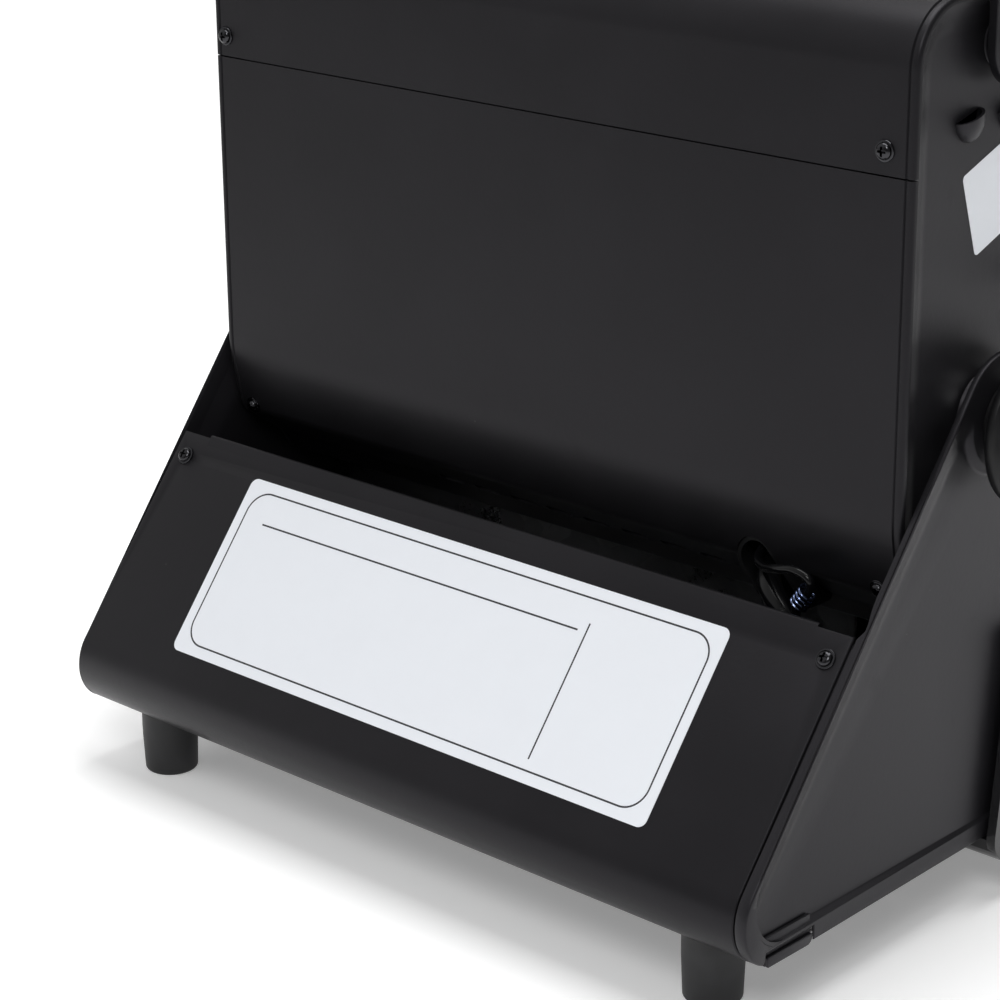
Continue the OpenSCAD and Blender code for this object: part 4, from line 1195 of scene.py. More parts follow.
        # The plate and its folds wear the lighter copy of the powder coat, a painted brighter reflection on
        # the sides.
        dressed(plate, Finish.POWDER_SIDE_PAINTED_LIGHTER, "base", (name,), sharp=40)
        Piece(f"{name}_folds", folds, Finish.POWDER_SIDE_PAINTED_LIGHTER, "base", bevel=0.3).made()

    def _rim(self, y: float, z: float) -> float:
        """How far the plate's rim stands out from the middle of the heater at a place."""
        p = np.array([y, z])
        near = smooth(float((p - PANEL_TOP) @ OUT), *self.edge_rise)
        slope = near * smooth(float(np.linalg.norm(p - PIVOT)), *self.edge_reach)
        low = smooth(y, *self.foot_y) * smooth(z, *self.foot_z)
        return self.outer + slope * self.edge_change[self.side < 0] + low * self.foot_change

    def _pressed(self, skin: Shape) -> Shape:
        """The skin with its rim brought to its own height all round."""
        floor = self.outer - self.depth
        made = Shape()
        made.faces = skin.faces
        for x, y, z in skin.vertices:
            share = (x - floor) / self.depth
            made.vertices.append((floor + share * (self._rim(y, z) - floor), y, z))
        return made

    def _lip(self) -> Shape:
        """The narrow inward fold round the roll, up the slope and over the tip."""
        # From the first point of the roll's arc to just before the last of the tip's.
        line = [*zip(self.ring(0.0), self.ring(self.thickness))][12:-6]
        whole: list[tuple[np.ndarray, np.ndarray]] = []
        for (a, b), (c, d) in zip(line[:-1], line[1:]):
            steps = max(1, math.ceil(float(np.linalg.norm(c - a)) / 1.5))
            whole += [(a + (c - a) * k / steps, b + (d - b) * k / steps) for k in range(steps)]
        whole.append(line[-1])
        places, reach = zip(*self.lip)
        rows = []
        for a, b in whole:
            x = float(np.interp(float((a - PANEL_TOP) @ DOWN), places, reach))
            edge = self._rim(*a) - 0.5
            rows.append(np.array([(edge, *a), (x, *a), (x, *b), (edge, *b)]))
        return Shape.solid(rows)

    def _tab(self) -> Shape:
        """The locking tab below the lower edge, on its strip behind the plate."""
        (y0, y1), (z0, z1), t = self.tab_y, self.tab_z, self.thickness
        corners = Path(((y0, z0), (y1, z0), (y1, z1), (y0, z1)), (2.5, 0.5, 0.5, 0.5), True, 10.0)
        x = self._rim(y1, z1)
        strip = block((x - 2 * t, y0, z0), (x - t + 0.05, y1, z1 + 6))
        return strip.join(prism_x(corners.moved(), x - t, x))

    def _wing(self) -> Shape:
        """The fold behind the sloping panel that takes its screw."""
        x0 = self.outer - self.thickness - self.overlap
        x1 = self.outer - self.wing_inset[self.side < 0]
        (near, far), (top, low) = self.wing_down, self.wing_lift
        corners = [on_slope(0, d, u)[1:] for d, u in ((near, top), (far, top), (far, low), (near, low))]
        return prism_x(np.array(corners), x0, x1)


def _circle(centre: Flat, radius: float, count: int) -> np.ndarray:
    """Points of a circle."""
    a = full_turn(count)
    return np.column_stack([centre[0] + radius * np.cos(a), centre[1] + radius * np.sin(a)])


def _moved_corners(points: Sequence[np.ndarray], depths: Sequence[float]) -> list[np.ndarray]:
    """The corners of a closed outline, with each side moved to its left by its own depth."""
    n, out = len(points), []
    for i in range(n):
        u = left_of(unit(points[i] - points[i - 1]))
        v = left_of(unit(points[(i + 1) % n] - points[i]))
        shift = np.linalg.solve(np.array([u, v]), np.array([depths[i - 1], depths[i]]))
        out.append(points[i] + shift)
    return out


def _land_corner(
    foot: np.ndarray, tip: np.ndarray, land: float, soft: float, right: bool = False
) -> list[np.ndarray]:
    """The rounded corner where a straight edge meets the round land about the pivot.

    Args:
        foot: The far end of the edge.
        tip: The end beyond the land.
        land: Radius of the land.
        soft: Radius of the corner.
        right: Whether the recess lies to the right of the way from foot to tip.

    Returns:
        Points from the edge to the land.
    """
    way = unit(tip - foot)
    inward = left_of(way) * (-1 if right else 1)
    base = foot + inward * soft
    gap = float((PIVOT - base) @ inward)
    along = float((PIVOT - base) @ way) - math.sqrt(max(0.0, (land + soft) ** 2 - gap**2))
    centre = base + way * along
    a0, a1 = (math.atan2(v[1], v[0]) for v in (-inward, PIVOT - centre))
    turn = (a1 - a0 + math.pi) % (2 * math.pi) - math.pi
    steps = 8
    return [centre + soft * aimed(a0 + turn * k / steps) for k in range(steps + 1)]


def stamped_skin(
    outline: Callable[[float], np.ndarray],
    recess: Callable[[float], np.ndarray],
    depth: float,
    ramp: float,
    holes: Sequence[np.ndarray],
    x: float,
    floor_holes: Sequence[np.ndarray] = (),
    edge: float = 0.7,
) -> Shape:
    """The outer face of a plate with a soft-edged recess.

    Args:
        outline: The plate's outline at an inset.
        recess: The recess outline at an inset.
        depth: The recess's depth.
        ramp: The width of its soft step.
        holes: Holes in the border face.
        x: Where the border face lies.
        floor_holes: Holes in the recess floor.
        edge: Radius of the plate's outer edge.

    Returns:
        An open skin.
    """
    shape = Shape()
    rim = []
    for a in np.linspace(0, math.pi / 2, 4):
        rim.append(at_x(outline(edge * (1 - math.cos(a))), x - edge * (1 - math.sin(a))))
    steps = [at_x(recess(ramp * t), x - depth * eased(t)) for t in np.linspace(0, 1, 13)]
    for rows in (rim, steps):
        shape.join(Shape.rows(rows, around=True))
    shape.join(filled([rim[-1], steps[0], *[at_x(h, x) for h in holes]]))
    shape.join(filled([steps[-1], *[at_x(h, x - depth) for h in floor_holes]]))
    return shape


def eased(t: float, first: float = 0.05, last: float = 0.4) -> float:
    """A straight climb from 0 to 1 that starts crisply and ends softly.

    Args:
        t: The share of the way, 0 to 1.
        first: The share that its first round takes.
        last: The share that its last round takes.

    Returns:
        The height.
    """
    rate = 1 / (1 - first / 2 - last / 2)
    if t < first:
        return rate * t * t / (2 * first)
    if t > 1 - last:
        return 1 - rate * (1 - t) ** 2 / (2 * last)
    return rate * (t - first / 2)


def smooth(value: float, low: float, high: float) -> float:
    """0 at low and beyond it, 1 at high and beyond it, and a soft climb between; low may be the larger."""
    t = min(1.0, max(0.0, (value - low) / (high - low)))
    return t * t * (3 - 2 * t)


def filled(loops: Sequence[np.ndarray]) -> Shape:
    """Flat triangles between an outer loop and the loops inside it."""
    bm = bmesh.new()
    edges = []
    for loop in loops:
        made = [bm.verts.new(p) for p in loop]
        edges += [bm.edges.new((made[i], made[(i + 1) % len(made)])) for i in range(len(made))]
    bmesh.ops.triangle_fill(bm, use_beauty=True, use_dissolve=False, edges=edges)
    bm.verts.index_update()
    out = Shape().add([tuple(v.co) for v in bm.verts], [tuple(v.index for v in f.verts) for f in bm.faces])
    bm.free()
    return out


def solid_sheet(name: str, skin: Shape, thickness: float, inward: Vector) -> bpy.types.Object:
    """A skin given its thickness towards one side."""
    obj = mesh_object(name, skin, weld=0.01)
    mesh = obj.data
    total = sum((Vector(p.normal) * p.area for p in mesh.polygons), Vector())
    if total.dot(inward) > 0:
        mesh.flip_normals()
    wall = obj.modifiers.new("wall", "SOLIDIFY")
    wall.thickness, wall.offset, wall.use_even_offset = thickness * MM, -1.0, False
    settle(obj)
    return obj


@dataclass
class Feet:
    """Four rubber feet, each turned with a soft lower edge and a slight taper."""

    x: float = 125.4
    rear_y: float = 90.7
    front_y: float = -84.0

    def build(self) -> None:
        """Builds and dresses the feet."""
        ends = (("rear", self.rear_y, PANEL_FOOT_Z, 10.2), ("front", self.front_y, 14.0, 10.0))
        for end, y, top, r1 in ends:
            for side, hand in HANDS.items():
                name = f"foot_{end}_{hand}"
                shape = revolved(self._profile(top, r1), 56).placed(Matrix.Translation((side * self.x, y, 0)))
                Piece(f"{name}_rubber", shape, Finish.FOOT, "base", (name,), sharp=50).made()

    def _profile(self, top: float, wide: float) -> list[Flat]:
        """(radius, height) points from the ground up."""
        low = 9.4
        toe = 1.3
        profile = [(0.001, 0.6), (6.0, 0.6), (6.6, 0.0), (low - toe, 0.0)]
        for a in np.linspace(0.3, 1.5, 5):
            profile.append((low - toe + toe * math.sin(a), toe - toe * math.cos(a)))
        profile += [(low + (wide - low) * 0.6, top * 0.6), (wide - 0.3, top - 0.9)]
        return profile + [(wide, top - 0.4), (wide, top), (0.001, top)]


# ---- Gas lines ------------------------------------------------------------------------------


@dataclass
class GasLines:
    """The hose, the ignition lead and the coil that guards it."""

    hose: tuple[Flat, ...] = (
        (-127, -19.95, 55.5), (-127, -14, 55.5), (-127, -5, 56.3), (-127, 4, 59.5), (-127, 15, 67),
        (-124.5, 27, 78), (-120, 35, 89.5), (-114.5, 38.5, 98.5), (-108, 38, 105.5), (-101.5, 35, 110),
        (-96.5, 30, 112.6), (-94.5, 25, 114.6), (-92.6, 19, 117.2), (-92.5, 14, 117.5), (-92.5, 10.05, 117.5),
    )
    lead: tuple[Flat, ...] = (
        (-127, -77.9, 80), (-127, -72, 80.2), (-128, -64, 81), (-132, -36, 81), (-134, -8, 80),
        (-134, 16, 80), (-132.5, 32, 84), (-128, 40, 91), (-122, 42.5, 98.5), (-117.5, 42.5, 105),
        (-116.7, 42, 110.9), (-121.1, 42, 117.1), (-121, 42.5, 121), (-115.5, 42.5, 122.5),
        (-108, 41, 120.5), (-100, 37, 118), (-93.5, 32, 117.8), (-91.5, 26, 120.3), (-93, 18, 125),
        (-99, 8, 128), (-104, -6, 126), (-107, -26, 117), (-108, -44, 108), (-108, -54, 107),
        (-108, -57, 111.5), (-108, -57, 117.9),
    )
    coil_middle: Flat = (-118.9, 42.0, 114.0)
    coil_axis: Flat = (-0.5736, 0.0, 0.8192)
    hose_bend: tuple[Flat, Flat] = ((-127, -8, 56), (-98, 32, 111))
    lead_bend: tuple[Flat, Flat] = ((-116, 42, 110), (-92, 30, 118))
    hose_r: float = 4.0
    lead_r: float = 1.5

    def build(self) -> None:
        """Builds and dresses the lines."""
        self._line("gas_hose", self.hose, self.hose_r, 20, *self.hose_bend)
        self._line("ignition_lead", self.lead, self.lead_r, 12, *self.lead_bend)
        self._coil()

    def _line(
        self, node: str, points: Sequence[Flat], radius: float, sides: int, start: Flat, end: Flat
    ) -> None:
        """One tube laid along its route from the base to the head."""
        route = smooth_route(points, 6)
        obj = mesh_object(f"{node}_tube", swept_tube(route, radius, sides))
        mesh = obj.data
        mesh.materials.append(Finish.HOSE.material())
        mesh.shade_smooth()
        mesh.set_sharp_from_angle(angle=math.radians(40))
        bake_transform(obj)
        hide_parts(node)

    def _coil(self) -> None:
        """The close-wound guard of the lead."""
        turns, pitch, radius, wire = 4.2, 1.7, 2.8, 0.48
        sizes = {"Turns": turns, "Pitch": pitch * MM, "Radius": radius * MM, "Wire": wire * MM}
        rule = Rule("coil_rule", sizes)
        start = rule.start
        rise = Wire(rule, start["Turns"]) * start["Pitch"]
        inputs = {
            "Resolution": 28,
            "Rotations": start["Turns"],
            "Start Radius": start["Radius"],
            "End Radius": start["Radius"],
            "Height": rise,
        }
        helix = rule.add("GeometryNodeCurveSpiral", inputs).outputs[0]
        ring = rule.add("GeometryNodeCurvePrimitiveCircle", {"Resolution": 10, "Radius": start["Wire"]})
        tube = rule.add("GeometryNodeCurveToMesh", {0: helix, 1: ring.outputs[0], "Fill Caps": True})
        source = mesh_object("coil_source", block((0, 0, 0), (1, 1, 1)))
        mesh = rule.out(tube.outputs[0], Finish.BLUED, source)
        mesh.transform(Matrix.Translation((0, 0, -turns * pitch * MM / 2)))
        mesh.transform(axis_frame(Vector(self.coil_middle) * MM, self.coil_axis))
        mesh_piece("lead_coil", mesh, Finish.BLUED, "base", ("lead_spring",))


# ---- Burner head ----------------------------------------------------------------------------

HEAD_REAR = 35.2
HEAD_FRONT = -70.0
HEAD_LOW = 96.2
HEAD_TOP = 298.0
SEAM = 247.5
SLANT = ((13.0, 104.6), (30.4, 116.9))
REAR_FOOT = ((7.6, HEAD_LOW), *SLANT, (HEAD_REAR, 140.0))
REAR_BENDS = (3.0, 8.0, 5.0, 60.0)
HOOD_BEND = 20.0
HOOD_SCREWS = (
    ((-138.6, HEAD_REAR, 254.7), (0, 1, 0)), ((143.3, HEAD_REAR, 254.5), (0, 1, 0)),
    ((-141.0, HEAD_FRONT, 274.0), (0, -1, 0)), ((141.0, HEAD_FRONT, 274.0), (0, -1, 0)),
)
LOW_SCREWS = tuple(((x, 30.85, 119.0), (0, 0.979, -0.203)) for x in (-139, 141))
HEAD_OUTLINE = Path(
    ((HEAD_REAR, HEAD_TOP), (HEAD_FRONT, HEAD_TOP), (HEAD_FRONT, HEAD_LOW), *REAR_FOOT),
    (HOOD_BEND, HOOD_BEND, 4.0, *REAR_BENDS),
    closed=True,
)


@dataclass
class HeadShell:
    """The folded sheets round the burner: hood, rear lower panel, bezel and both sides."""

    thickness: float = 1.0
    bend: float = 1.8
    flange: float = 2.3
    half: float = 149.0
    slots: int = 8
    slot_first: float = -61.3
    slot_pitch: float = 16.9
    slot_middle: Flat = (14.0, 105.5)
    slot_turn: float = math.radians(35)
    mouth: Flat = (-96.5, 112.0)
    mouth_r: float = 5.75
    mouth_reach: float = 7.25
    window: tuple[Flat, Flat] = ((-120.0, 134.0), (120.0, 246.0))
    tongue_x: Flat = (-130.0, 137.0)
    tongue_reach: Flat = (10.0, 8.0)

    def build(self) -> None:
        """Builds and dresses the shell."""
        self._hood()
        self._rear_lower()
        self._bezel()
        for side in reversed(HANDS):
            HeadSide(side).build()
        softened("hose_grommet", Finish.PLASTIC, "head", 0.5, 40)

    def _sheet(self, points: Sequence[Flat], bends: Flat, step: float = 3) -> Shape:
        """A folded sheet along a line in (y, z), with both sides folded back."""
        section = tray_section(self.half, self.flange, self.thickness, self.bend)
        return folded_sheet(Path(tuple(points), tuple(bends), step=step), section)

    def _hood(self) -> None:
        """The top sheet, with its long bends and rolled side edges."""
        line = ((HEAD_REAR, SEAM), (HEAD_REAR, HEAD_TOP), (HEAD_FRONT, HEAD_TOP), (HEAD_FRONT, 268.0))
        sheet = self._sheet(line, (0, HOOD_BEND, HOOD_BEND, 0))
        drill = revolved([(SCREW_BORE, -3), (SCREW_BORE, 3)], 20)
        holes = [drill.placed(axis_frame(*seat)) for seat in HOOD_SCREWS]
        Piece("hood_sheet", sheet, Finish.POWDER, "head", ("hood",), cutters=holes).made()

    def _rear_lower(self) -> None:
        """The rear sheet, with its slots and the opening for the gas lines."""
        sheet = self._sheet(((-10.0, HEAD_LOW), *REAR_FOOT, (HEAD_REAR, SEAM - 0.5)), (0, *REAR_BENDS, 0))
        cutters = [self._mouth_tube(self.mouth_r + 1.5, 0, 36)]
        slot = rounded_box((-5.5, -2.0), (5.5, 2.0), 1.9).moved()
        tool = Shape.solid([np.insert(slot, 2, h, axis=1) for h in (-4.0, 4.0)])
        for i in range(self.slots):
            place = Matrix.Translation((self.slot_first + i * self.slot_pitch, *self.slot_middle))
            cutters.append(tool.placed(place @ Matrix.Rotation(self.slot_turn, 4, "X")))
        Piece("rear_lower_sheet", sheet, Finish.POWDER, "head", ("rear_lower_panel",), cutters=cutters).made()
        (x0, x1), (below, above) = self.tongue_x, self.tongue_reach
        tongue = block((x0, HEAD_REAR - 2, SEAM - below), (x1, HEAD_REAR - 1, SEAM + above))
        Piece("rear_lower_tongue", tongue, Finish.POWDER, "head", bevel=0.2).made()

    def _bezel(self) -> None:
        """The front sheet round the burner window."""
        line = ((HEAD_FRONT, 267.5), (HEAD_FRONT, HEAD_LOW), (HEAD_FRONT + 10, HEAD_LOW))
        sheet = self._sheet(line, (0, 4, 0), 5)
        window = prism_y(rounded_box(*self.window, 6.0).moved(), HEAD_FRONT - 3, HEAD_FRONT + 4)
        Piece("bezel_sheet", sheet, Finish.POWDER, "head", ("front_bezel",), cutters=[window]).made()

    def _mouth_tube(self, radius: float, y0: float, y1: float) -> Shape:
        """The leaning oval through the rear corner, as a solid."""
        reach = self.mouth_reach + radius
        oval = rounded_box((-reach, -radius), (reach, radius), radius - 0.05, 8).moved()
        c = math.cos(math.radians(45))
        turned = np.column_stack([oval[:, 0] * c + oval[:, 1] * c, oval[:, 0] * c - oval[:, 1] * c])
        return prism_y(turned + np.array(self.mouth), y0, y1)


@dataclass
class HeadSide:
    """One stamped side of the head, with three pressed scoops and low bosses round its bores.

    A boss gives its centre, the radius of its bore, its own radius and where its face lies.
    """

    side: int
    face: float = 147.9
    depth: float = 3.0
    border: float = 1.3
    ramp: float = 10.5
    inset: float = 1.0
    bosses: tuple[tuple[Flat, float, float, float], ...] = (
        (tuple(PIVOT), PIVOT_BORE, 13.0, 146.4), ((-11.5, 281.0), 3.06, 7.6, 145.5),
    )
    ring_boss: tuple[Flat, float, float, float] = ((-38.0, 205.0), 3.2, 5.4, 145.3)
    scoop_y: tuple[float, ...] = (3.4, -18.6, -40.6)
    scoop_z: float = 260.6
    scoop_lean: float = math.radians(15)
    scoop_r: float = 6.6
    scoop_out: float = 4.3
    scoop_drop: float = 1.25
    sticker: tuple[Flat, Flat, Flat] = ((4.8, 242.4), (-3.6, 216.9), (-29.0, 255.0))

    def build(self) -> None:
        """Builds and dresses the side."""

        def outline(inset: float) -> np.ndarray:
            """The side's edge at one inset."""
            return HEAD_OUTLINE.moved(self.inset + inset)

        def recess(inset: float) -> np.ndarray:
            """The recess at one inset."""
            return HEAD_OUTLINE.moved(self.inset + self.border + inset)

        (pivot, bore, *_), (handle, handle_bore, *_) = self.bosses
        holes = [_circle(pivot, bore, 32), _circle(handle, handle_bore, 28)]
        skin = stamped_skin(outline, recess, self.depth, self.ramp, [], self.face, holes, 0.3)
        name = f"head_side_{HANDS[self.side]}"
        obj = solid_sheet(f"{name}_skin", skin.on(self.side), 1.0, Vector((-self.side, 0, 0)))
        for y in self.scoop_y:
            carve(obj, self._opening(y))
        # The side and its scoops wear the lighter copy of the powder coat, a painted brighter reflection on
        # the sides.
        dressed(obj, Finish.POWDER_SIDE_PAINTED_LIGHTER, "head", (name,), sharp=40)
        raised = Shape()
        for y in self.scoop_y:
            raised.join(self._scoop(y))
        for boss in (*self.bosses, self.ring_boss) if self.side < 0 else self.bosses:
            raised.join(self._boss(*boss))
        Piece(f"{name}_scoops", raised.on(self.side), Finish.POWDER_SIDE_PAINTED_LIGHTER, "head", sharp=50).made()
        if self.side < 0:
            self._sticker()

    def _floor(self) -> float:
        """Where the recess floor lies."""
        return self.face - self.depth

    def _boss(self, centre: Flat, hole: float, wide: float, top: float) -> Shape:
        """A low pressed ring round a bore, up to the face that carries the washer."""
        low = self._floor() - 0.3
        ring = [(hole, low), (wide + 0.8, low), (wide + 0.3, top - 0.3), (wide, top), (hole, top)]
        return Shape.rows([at_x(_circle(centre, r, 48), x) for r, x in ring], around=True, along=True)

    def _scoop(self, y: float) -> Shape:
        """A domed shell with its straight mouth facing up."""
        rows = []
        r, t = self.scoop_r, 0.9
        for a in np.linspace(0, math.pi, 25):
            outer, inner = [], []
            for b in np.linspace(0, math.pi / 2, 9):
                for line, size, lift in ((outer, r, self.scoop_out), (inner, r - t, self.scoop_out - t)):
                    out = self._floor() - 0.2 + (lift + 0.2) * math.sin(b)
                    across = size * math.cos(b) * math.cos(a)
                    down = size * self.scoop_drop * math.cos(b) * math.sin(a)
                    line.append((out, *self._leaned(y, across, -down)))
            rows.append(np.array(outer + inner[::-1]))
        return Shape.solid(rows)

    def _leaned(self, y: float, across: float, up: float) -> Flat:
        """A point of a scoop, whose mouth leans down towards the rear."""
        c, s = math.cos(self.scoop_lean), math.sin(self.scoop_lean)
        return y + across * c + up * s, self.scoop_z - across * s + up * c

    def _sticker(self) -> None:
        """The small bare white plate on the side by the valve."""
        corner, low, far = (np.array(p) for p in self.sticker)
        across, down = far - corner, low - corner
        outline = rounded_box((0, 0), tuple(float(np.linalg.norm(v)) for v in (across, down)), 1.5).moved()
        flat = [corner + unit(across) * u + unit(down) * v for u, v in outline]
        x = -self._floor()
        rows = [np.array([(x - lift, *p) for p in flat]) for lift in (-0.05, 0.12)]
        plate = RuledPlate("blank_sticker", (0, 0), (1, 1), 1.0, (), (0, -1), (0, 0), line=0.0)
        Piece("blank_sticker", Shape.solid(rows), plate, "head").made()

    def _opening(self, y: float) -> Shape:
        """The hole in the side behind one scoop, as a solid."""
        r = self.scoop_r * 0.88
        a = np.linspace(math.pi, 2 * math.pi, 16)
        half = np.array([self._leaned(y, r * math.cos(t), r * self.scoop_drop * math.sin(t)) for t in a])
        return prism_x(half, *sorted(self.side * (self._floor() + reach) for reach in (-4, 3)))


@dataclass
class Screws:
    """All visible screws, set on their seats."""

    plain: CrossScrew = CrossScrew(3.3, 2.1)
    washered: CrossScrew = CrossScrew(2.7, 2.1, 3.1)

    def build(self) -> None:
        """Builds and dresses the screws."""
        for name, seats, screw, body, replaces in (
            ("base_screw_heads", panel_seats(), self.plain, "base", ("base_screws",)),
            ("head_screw_heads", HOOD_SCREWS, self.plain, "head", ("head_screws",)),
            ("washer_screw_heads", LOW_SCREWS, self.washered, "head", ()),
        ):
            mesh = scattered(name, seats, screw.shape(), Finish.SCREW)
            mesh_piece(name, mesh, Finish.SCREW, body, replaces, 25)


@dataclass
class Plaque:
    """One ceramic burner plaque, its face filled with the small flame ports."""

    side: int
    near: float = 1.5
    far: float = 116.5
    low: float = 151.0
    high: float = 229.0
    face: float = -50.0
    back: float = -37.0
    pitch: float = 2.5
    port: float = 0.62
    depth: float = 2.0
    margin: float = 2.5

    def build(self) -> None:
        """Builds and dresses the plaque."""
        name = f"plaque_{HANDS[self.side]}"
        wide, tall, pitch = self.far - self.near, self.high - self.low, self.pitch
        columns, rows = (int((size - 2 * self.margin) / pitch) for size in (wide, tall))
        x_mid, z_mid = self.side * (self.near + self.far) / 2, (self.low + self.high) / 2
        half = (columns * pitch / 2, rows * pitch / 2)
        Piece(f"{name}_body", self._body(x_mid, z_mid, half), Finish.CERAMIC, "head", (name,)).made()
        seats = []
        for i in range(columns):
            for j in range(rows):
                place = (x_mid + (i + 0.5) * pitch - half[0], self.face, z_mid + (j + 0.5) * pitch - half[1])
                seats.append((place, (0, -1, 0)))
        mesh = scattered(f"{name}_ports", seats, self._cell(), Finish.CERAMIC)
        mesh_piece(f"{name}_ports", mesh, Finish.CERAMIC, "head")

    def _body(self, x: float, z: float, half: Flat) -> Shape:
        """The block, with a shallow pocket where the cells lie."""
        full = ((self.far - self.near) / 2, (self.high - self.low) / 2)
        levels = ((half, self.face + self.depth), (half, self.face), (full, self.face), (full, self.back))
        corners = ((-1, -1), (1, -1), (1, 1), (-1, 1))
        rows = [np.array([(x + a * w, y, z + b * h) for a, b in corners]) for (w, h), y in levels]
        return Shape.solid(rows)

    def _cell(self) -> Shape:
        """One square cell with its port, standing on the origin."""
        a = (np.arange(12) + 0.5) * math.pi / 6
        turn = np.column_stack([np.cos(a), np.sin(a)])
        square = turn / np.abs(turn).max(axis=1)[:, None] * self.pitch / 2
        for k in (1, 4, 7, 10):
            square[k] = np.sign(turn[k]) * self.pitch / 2
        ring = turn * self.port
        levels = ((square, 0), (ring, 0), (ring, -self.depth))
        return Shape.rows([np.column_stack([p, np.full(12, h)]) for p, h in levels], True)


@dataclass
class TiltKnob:
    """One tilt knob with a soft-edged skirt and shallow flutes, turned round the head's axis."""

    side: int
    back: float = 153.5
    bore: float = PIVOT_BORE
    flutes: int = 12
    flute_depth: float = 0.9
    profile: tuple[Flat, ...] = (
        (11.6, 0.0), (12.0, 0.4), (12.0, 6.0), (23.2, 8.2), (24.5, 9.1), (25.0, 10.2), (25.0, 11.5),
        (24.7, 12.0), (24.0, 12.3), (22.6, 12.7), (22.0, 13.1), (21.8, 14.0), (21.5, 16.0), (21.1, 18.0),
        (20.8, 18.9), (20.1, 19.7), (19.1, 20.2), (18.0, 20.5), (16.5, 20.5), (15.8, 20.3), (15.0, 20.2),
        (0.01, 20.2),
    )

    def build(self) -> None:
        """Builds and dresses the knob."""
        count = self.flutes * 20
        a = full_turn(count)
        wave = (0.5 + 0.5 * np.cos(self.flutes * a)) ** 2
        rows = []
        for r, h in ((self.bore, 17.5), (self.bore, 0.0), *self.profile):
            fade = smooth(h, 12.6, 13.6) * (1 - smooth(h, 18.4, 20.2)) * smooth(r, 12.0, 18.0)
            size = r - self.flute_depth * fade * wave
            y, z = PIVOT[0] + size * np.cos(a), PIVOT[1] + size * np.sin(a)
            rows.append(np.column_stack([np.full(count, self.back + h), y, z]))
        shape = Shape.solid(rows).on(self.side)
        hand = HANDS[self.side]
        node = f"tilt_knob_{hand}"
        Piece(f"{node}_body", shape, Finish.PLASTIC, f"knob_{hand}", (node,), sharp=40).made()


def knob_mark(
    middle: float = -127.0, half: float = 0.55, front: float = -112.06, back: float = -111.6,
    low: float = 60.0, high: float = 71.0,
) -> None:
    """The plain white line on the control knob's grip.

    Args:
        middle: Where the line stands across the heater.
        half: Half its width.
        front: Its face.
        back: Its back, inside the grip.
        low: Its lower end.
        high: Its upper end.
    """
    line = block((middle - half, front, low), (middle + half, back, high))
    Piece("control_knob_line", line, Finish.MARK, "valve_knob").made()


# ---- Studio ---------------------------------------------------------------------------------


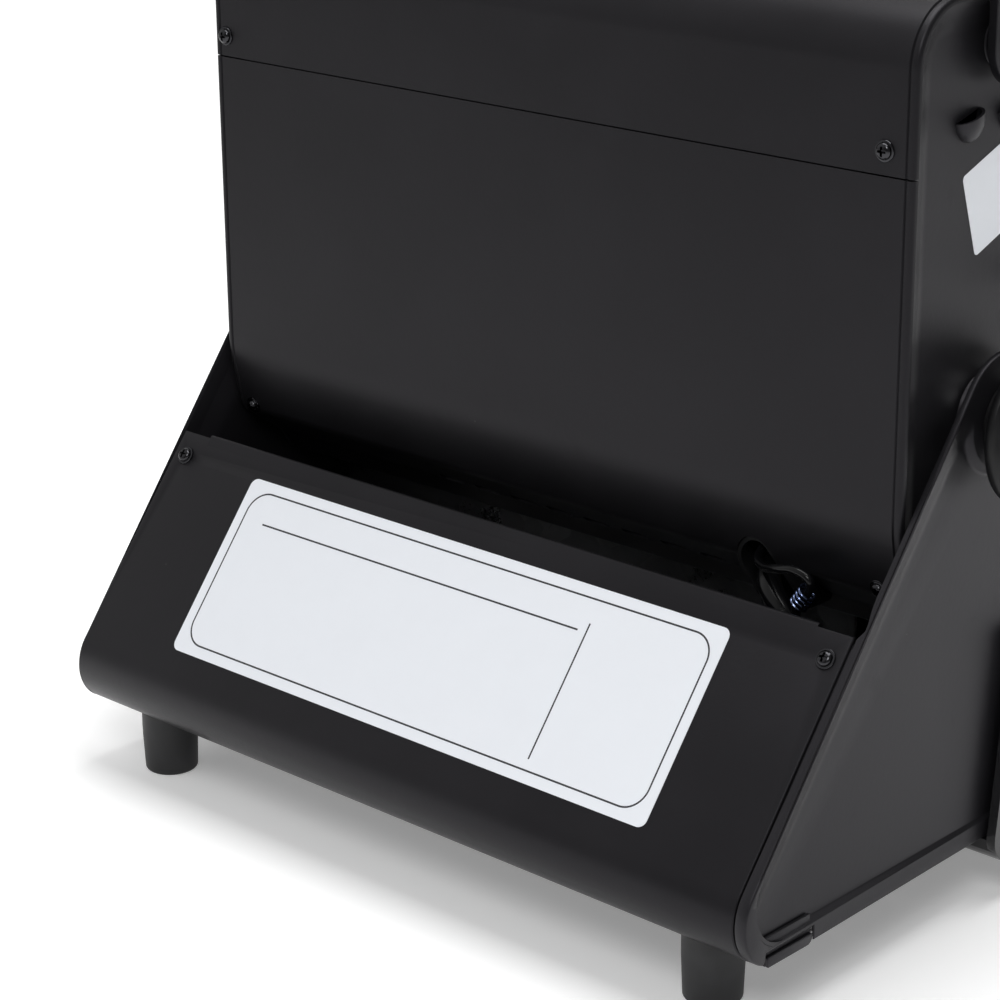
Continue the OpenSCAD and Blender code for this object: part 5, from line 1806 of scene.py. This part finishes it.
@dataclass
class Studio:
    """Camera, pale floor and plain soft light."""

    place: Flat = (-0.61897, 0.70875, 0.43758)
    azimuth: float = 223.2225
    elevation: float = 19.3505
    roll: float = -0.5105
    lens: float = 104.80

    def build(self) -> None:
        """Builds the camera, the floor and the lights."""
        self._camera()
        self._floor()
        self._world()
        self._lights()

    def _camera(self) -> None:
        """The camera, by its solved place and turn."""
        az, el, roll = (math.radians(v) for v in (self.azimuth, self.elevation, self.roll))
        back = Vector((math.sin(az) * math.cos(el), -math.cos(az) * math.cos(el), math.sin(el)))
        right = (-back).cross(Vector((0, 0, 1))).normalized()
        up = right.cross(-back)
        c, s = math.cos(roll), math.sin(roll)
        right, up = c * right + s * up, -s * right + c * up
        data = bpy.data.cameras.new("camera")
        data.lens, data.sensor_width, data.clip_start, data.clip_end = self.lens, 36.0, 0.01, 50.0
        camera = linked("camera", data)
        turn = Matrix((right, up, back)).transposed().to_4x4()
        camera.matrix_world = Matrix.Translation(self.place) @ turn
        bpy.context.scene.camera = camera

    def _floor(self) -> None:
        """A wide pale floor, lit a little from below like a light table."""
        r = 4000.0
        shape = Shape().add([(-r, -r, 0), (r, -r, 0), (r, r, 0), (-r, r, 0)], [(0, 1, 2, 3)])
        obj = mesh_object("floor", shape, recalc=False)
        s = Surface("studio_floor")
        tone = s.mixed(s.noise(0.002), (0.93, 0.93, 0.93), (0.95, 0.95, 0.95))
        fixed = {"Specular IOR Level": 0.1, "Emission Color": (1.0, 1.0, 1.0), "Emission Strength": 0.24}
        obj.data.materials.append(s.finish(tone, 0.9, None, fixed))

    def _world(self) -> None:
        """A dim grey surround, brighter high up behind the heater on its +X side."""
        world = bpy.data.worlds.new("surround")
        world.use_nodes = True
        bpy.context.scene.world = world
        tree = Tree(world.node_tree)
        tree.nodes.nodes.clear()
        x, y, z = tree.split(tree.add("ShaderNodeTexCoord").outputs["Generated"])
        glow = (x * 0.65 + y * 0.48 + z * 0.59).fitted(0.62, 0.92, 0.17, 0.66)
        back = tree.add("ShaderNodeBackground", {"Color": (1.0, 1.0, 1.0), "Strength": glow})
        tree.add("ShaderNodeOutputWorld", {"Surface": back.outputs[0]})
        bpy.context.scene.view_settings.view_transform = "Standard"

    def _lights(self) -> None:
        """Large softboxes round the object."""
        for name, at, aim, size, power in (
            ("top", (-0.08, -0.08, 0.95), (-0.08, -0.07, 0.0), (0.7, 0.7), 7.2),
            ("back_wash", (0.9, -1.4, 1.3), (0.9, -1.39, 0.0), (2.6, 1.8), 22.0),
            ("key", (-0.8, 1.15, 1.35), (0.0, 0.0, 0.1), (0.6, 0.6), 8.5),
        ):
            data = bpy.data.lights.new(name, "AREA")
            data.shape, data.size, data.size_y, data.energy = "RECTANGLE", size[0], size[1], power
            lamp = linked(name, data)
            lamp.location = at
            lamp.rotation_mode = "QUATERNION"
            lamp.rotation_quaternion = (Vector(aim) - Vector(at)).to_track_quat("-Z", "Y")


# ---- The heater -----------------------------------------------------------------------------


EASED: dict[str, float] = {
    "handle_strap": 0.5, "handle_grip": 0.8, "cartridge_lever": 0.5, "piezo_igniter": 0.4, "valve_body": 0.5,
    "reflector": 0.3, "burner_box": 0.4, "cartridge_cradle": 0.3, "bay_partition": 0.3, "cartridge_hook": 0.2,
    "hose_barb": 0.2, "jet_holder": 0.2, "inlet_fitting": 0.2, "electrode": 0.2, "guard_clips": 0.2,
    "handle_bolts": 0.3, "pivot_bolts": 0.3, "pivot_washers": 0.2, "head_base_plate": 0.2, "base_floor": 0.3,
}


def carry_over(frame: dict) -> None:
    """Gives every node that still shows a smooth copy with eased edges, in the finish of its own slot."""
    body_of = {node: body for body, nodes in frame["record"]["behaviour"]["bodies"].items() for node in nodes}
    for entry in frame["record"]["subparts"]:
        name = entry["node"]
        if not frame["nodes"][name].hide_render:
            obj = softened(name, SLOTS[entry["material_slot"]], body_of[name], EASED.get(name, 0.0))
            if name == "ring_spring":
                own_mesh(obj)


def main() -> None:
    """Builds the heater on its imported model."""
    logging.basicConfig(level=logging.INFO, format="%(name)s %(message)s")
    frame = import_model()
    for part in (
        Studio(),
        GasLines(),
        RearPanel(),
        *(SidePlate(side) for side in HANDS),
        Feet(),
        HeadShell(),
        Screws(),
        *(Plaque(side) for side in HANDS),
        *(TiltKnob(side) for side in HANDS),
    ):
        LOG.info("building %s", type(part).__name__)
        part.build()
    softened("front_housing", Finish.GLOSS, "base")
    softened("cartridge_cover", Finish.GLOSS, "cover")
    knob_mark()
    carry_over(frame)


if __name__ == "__main__":
    main()
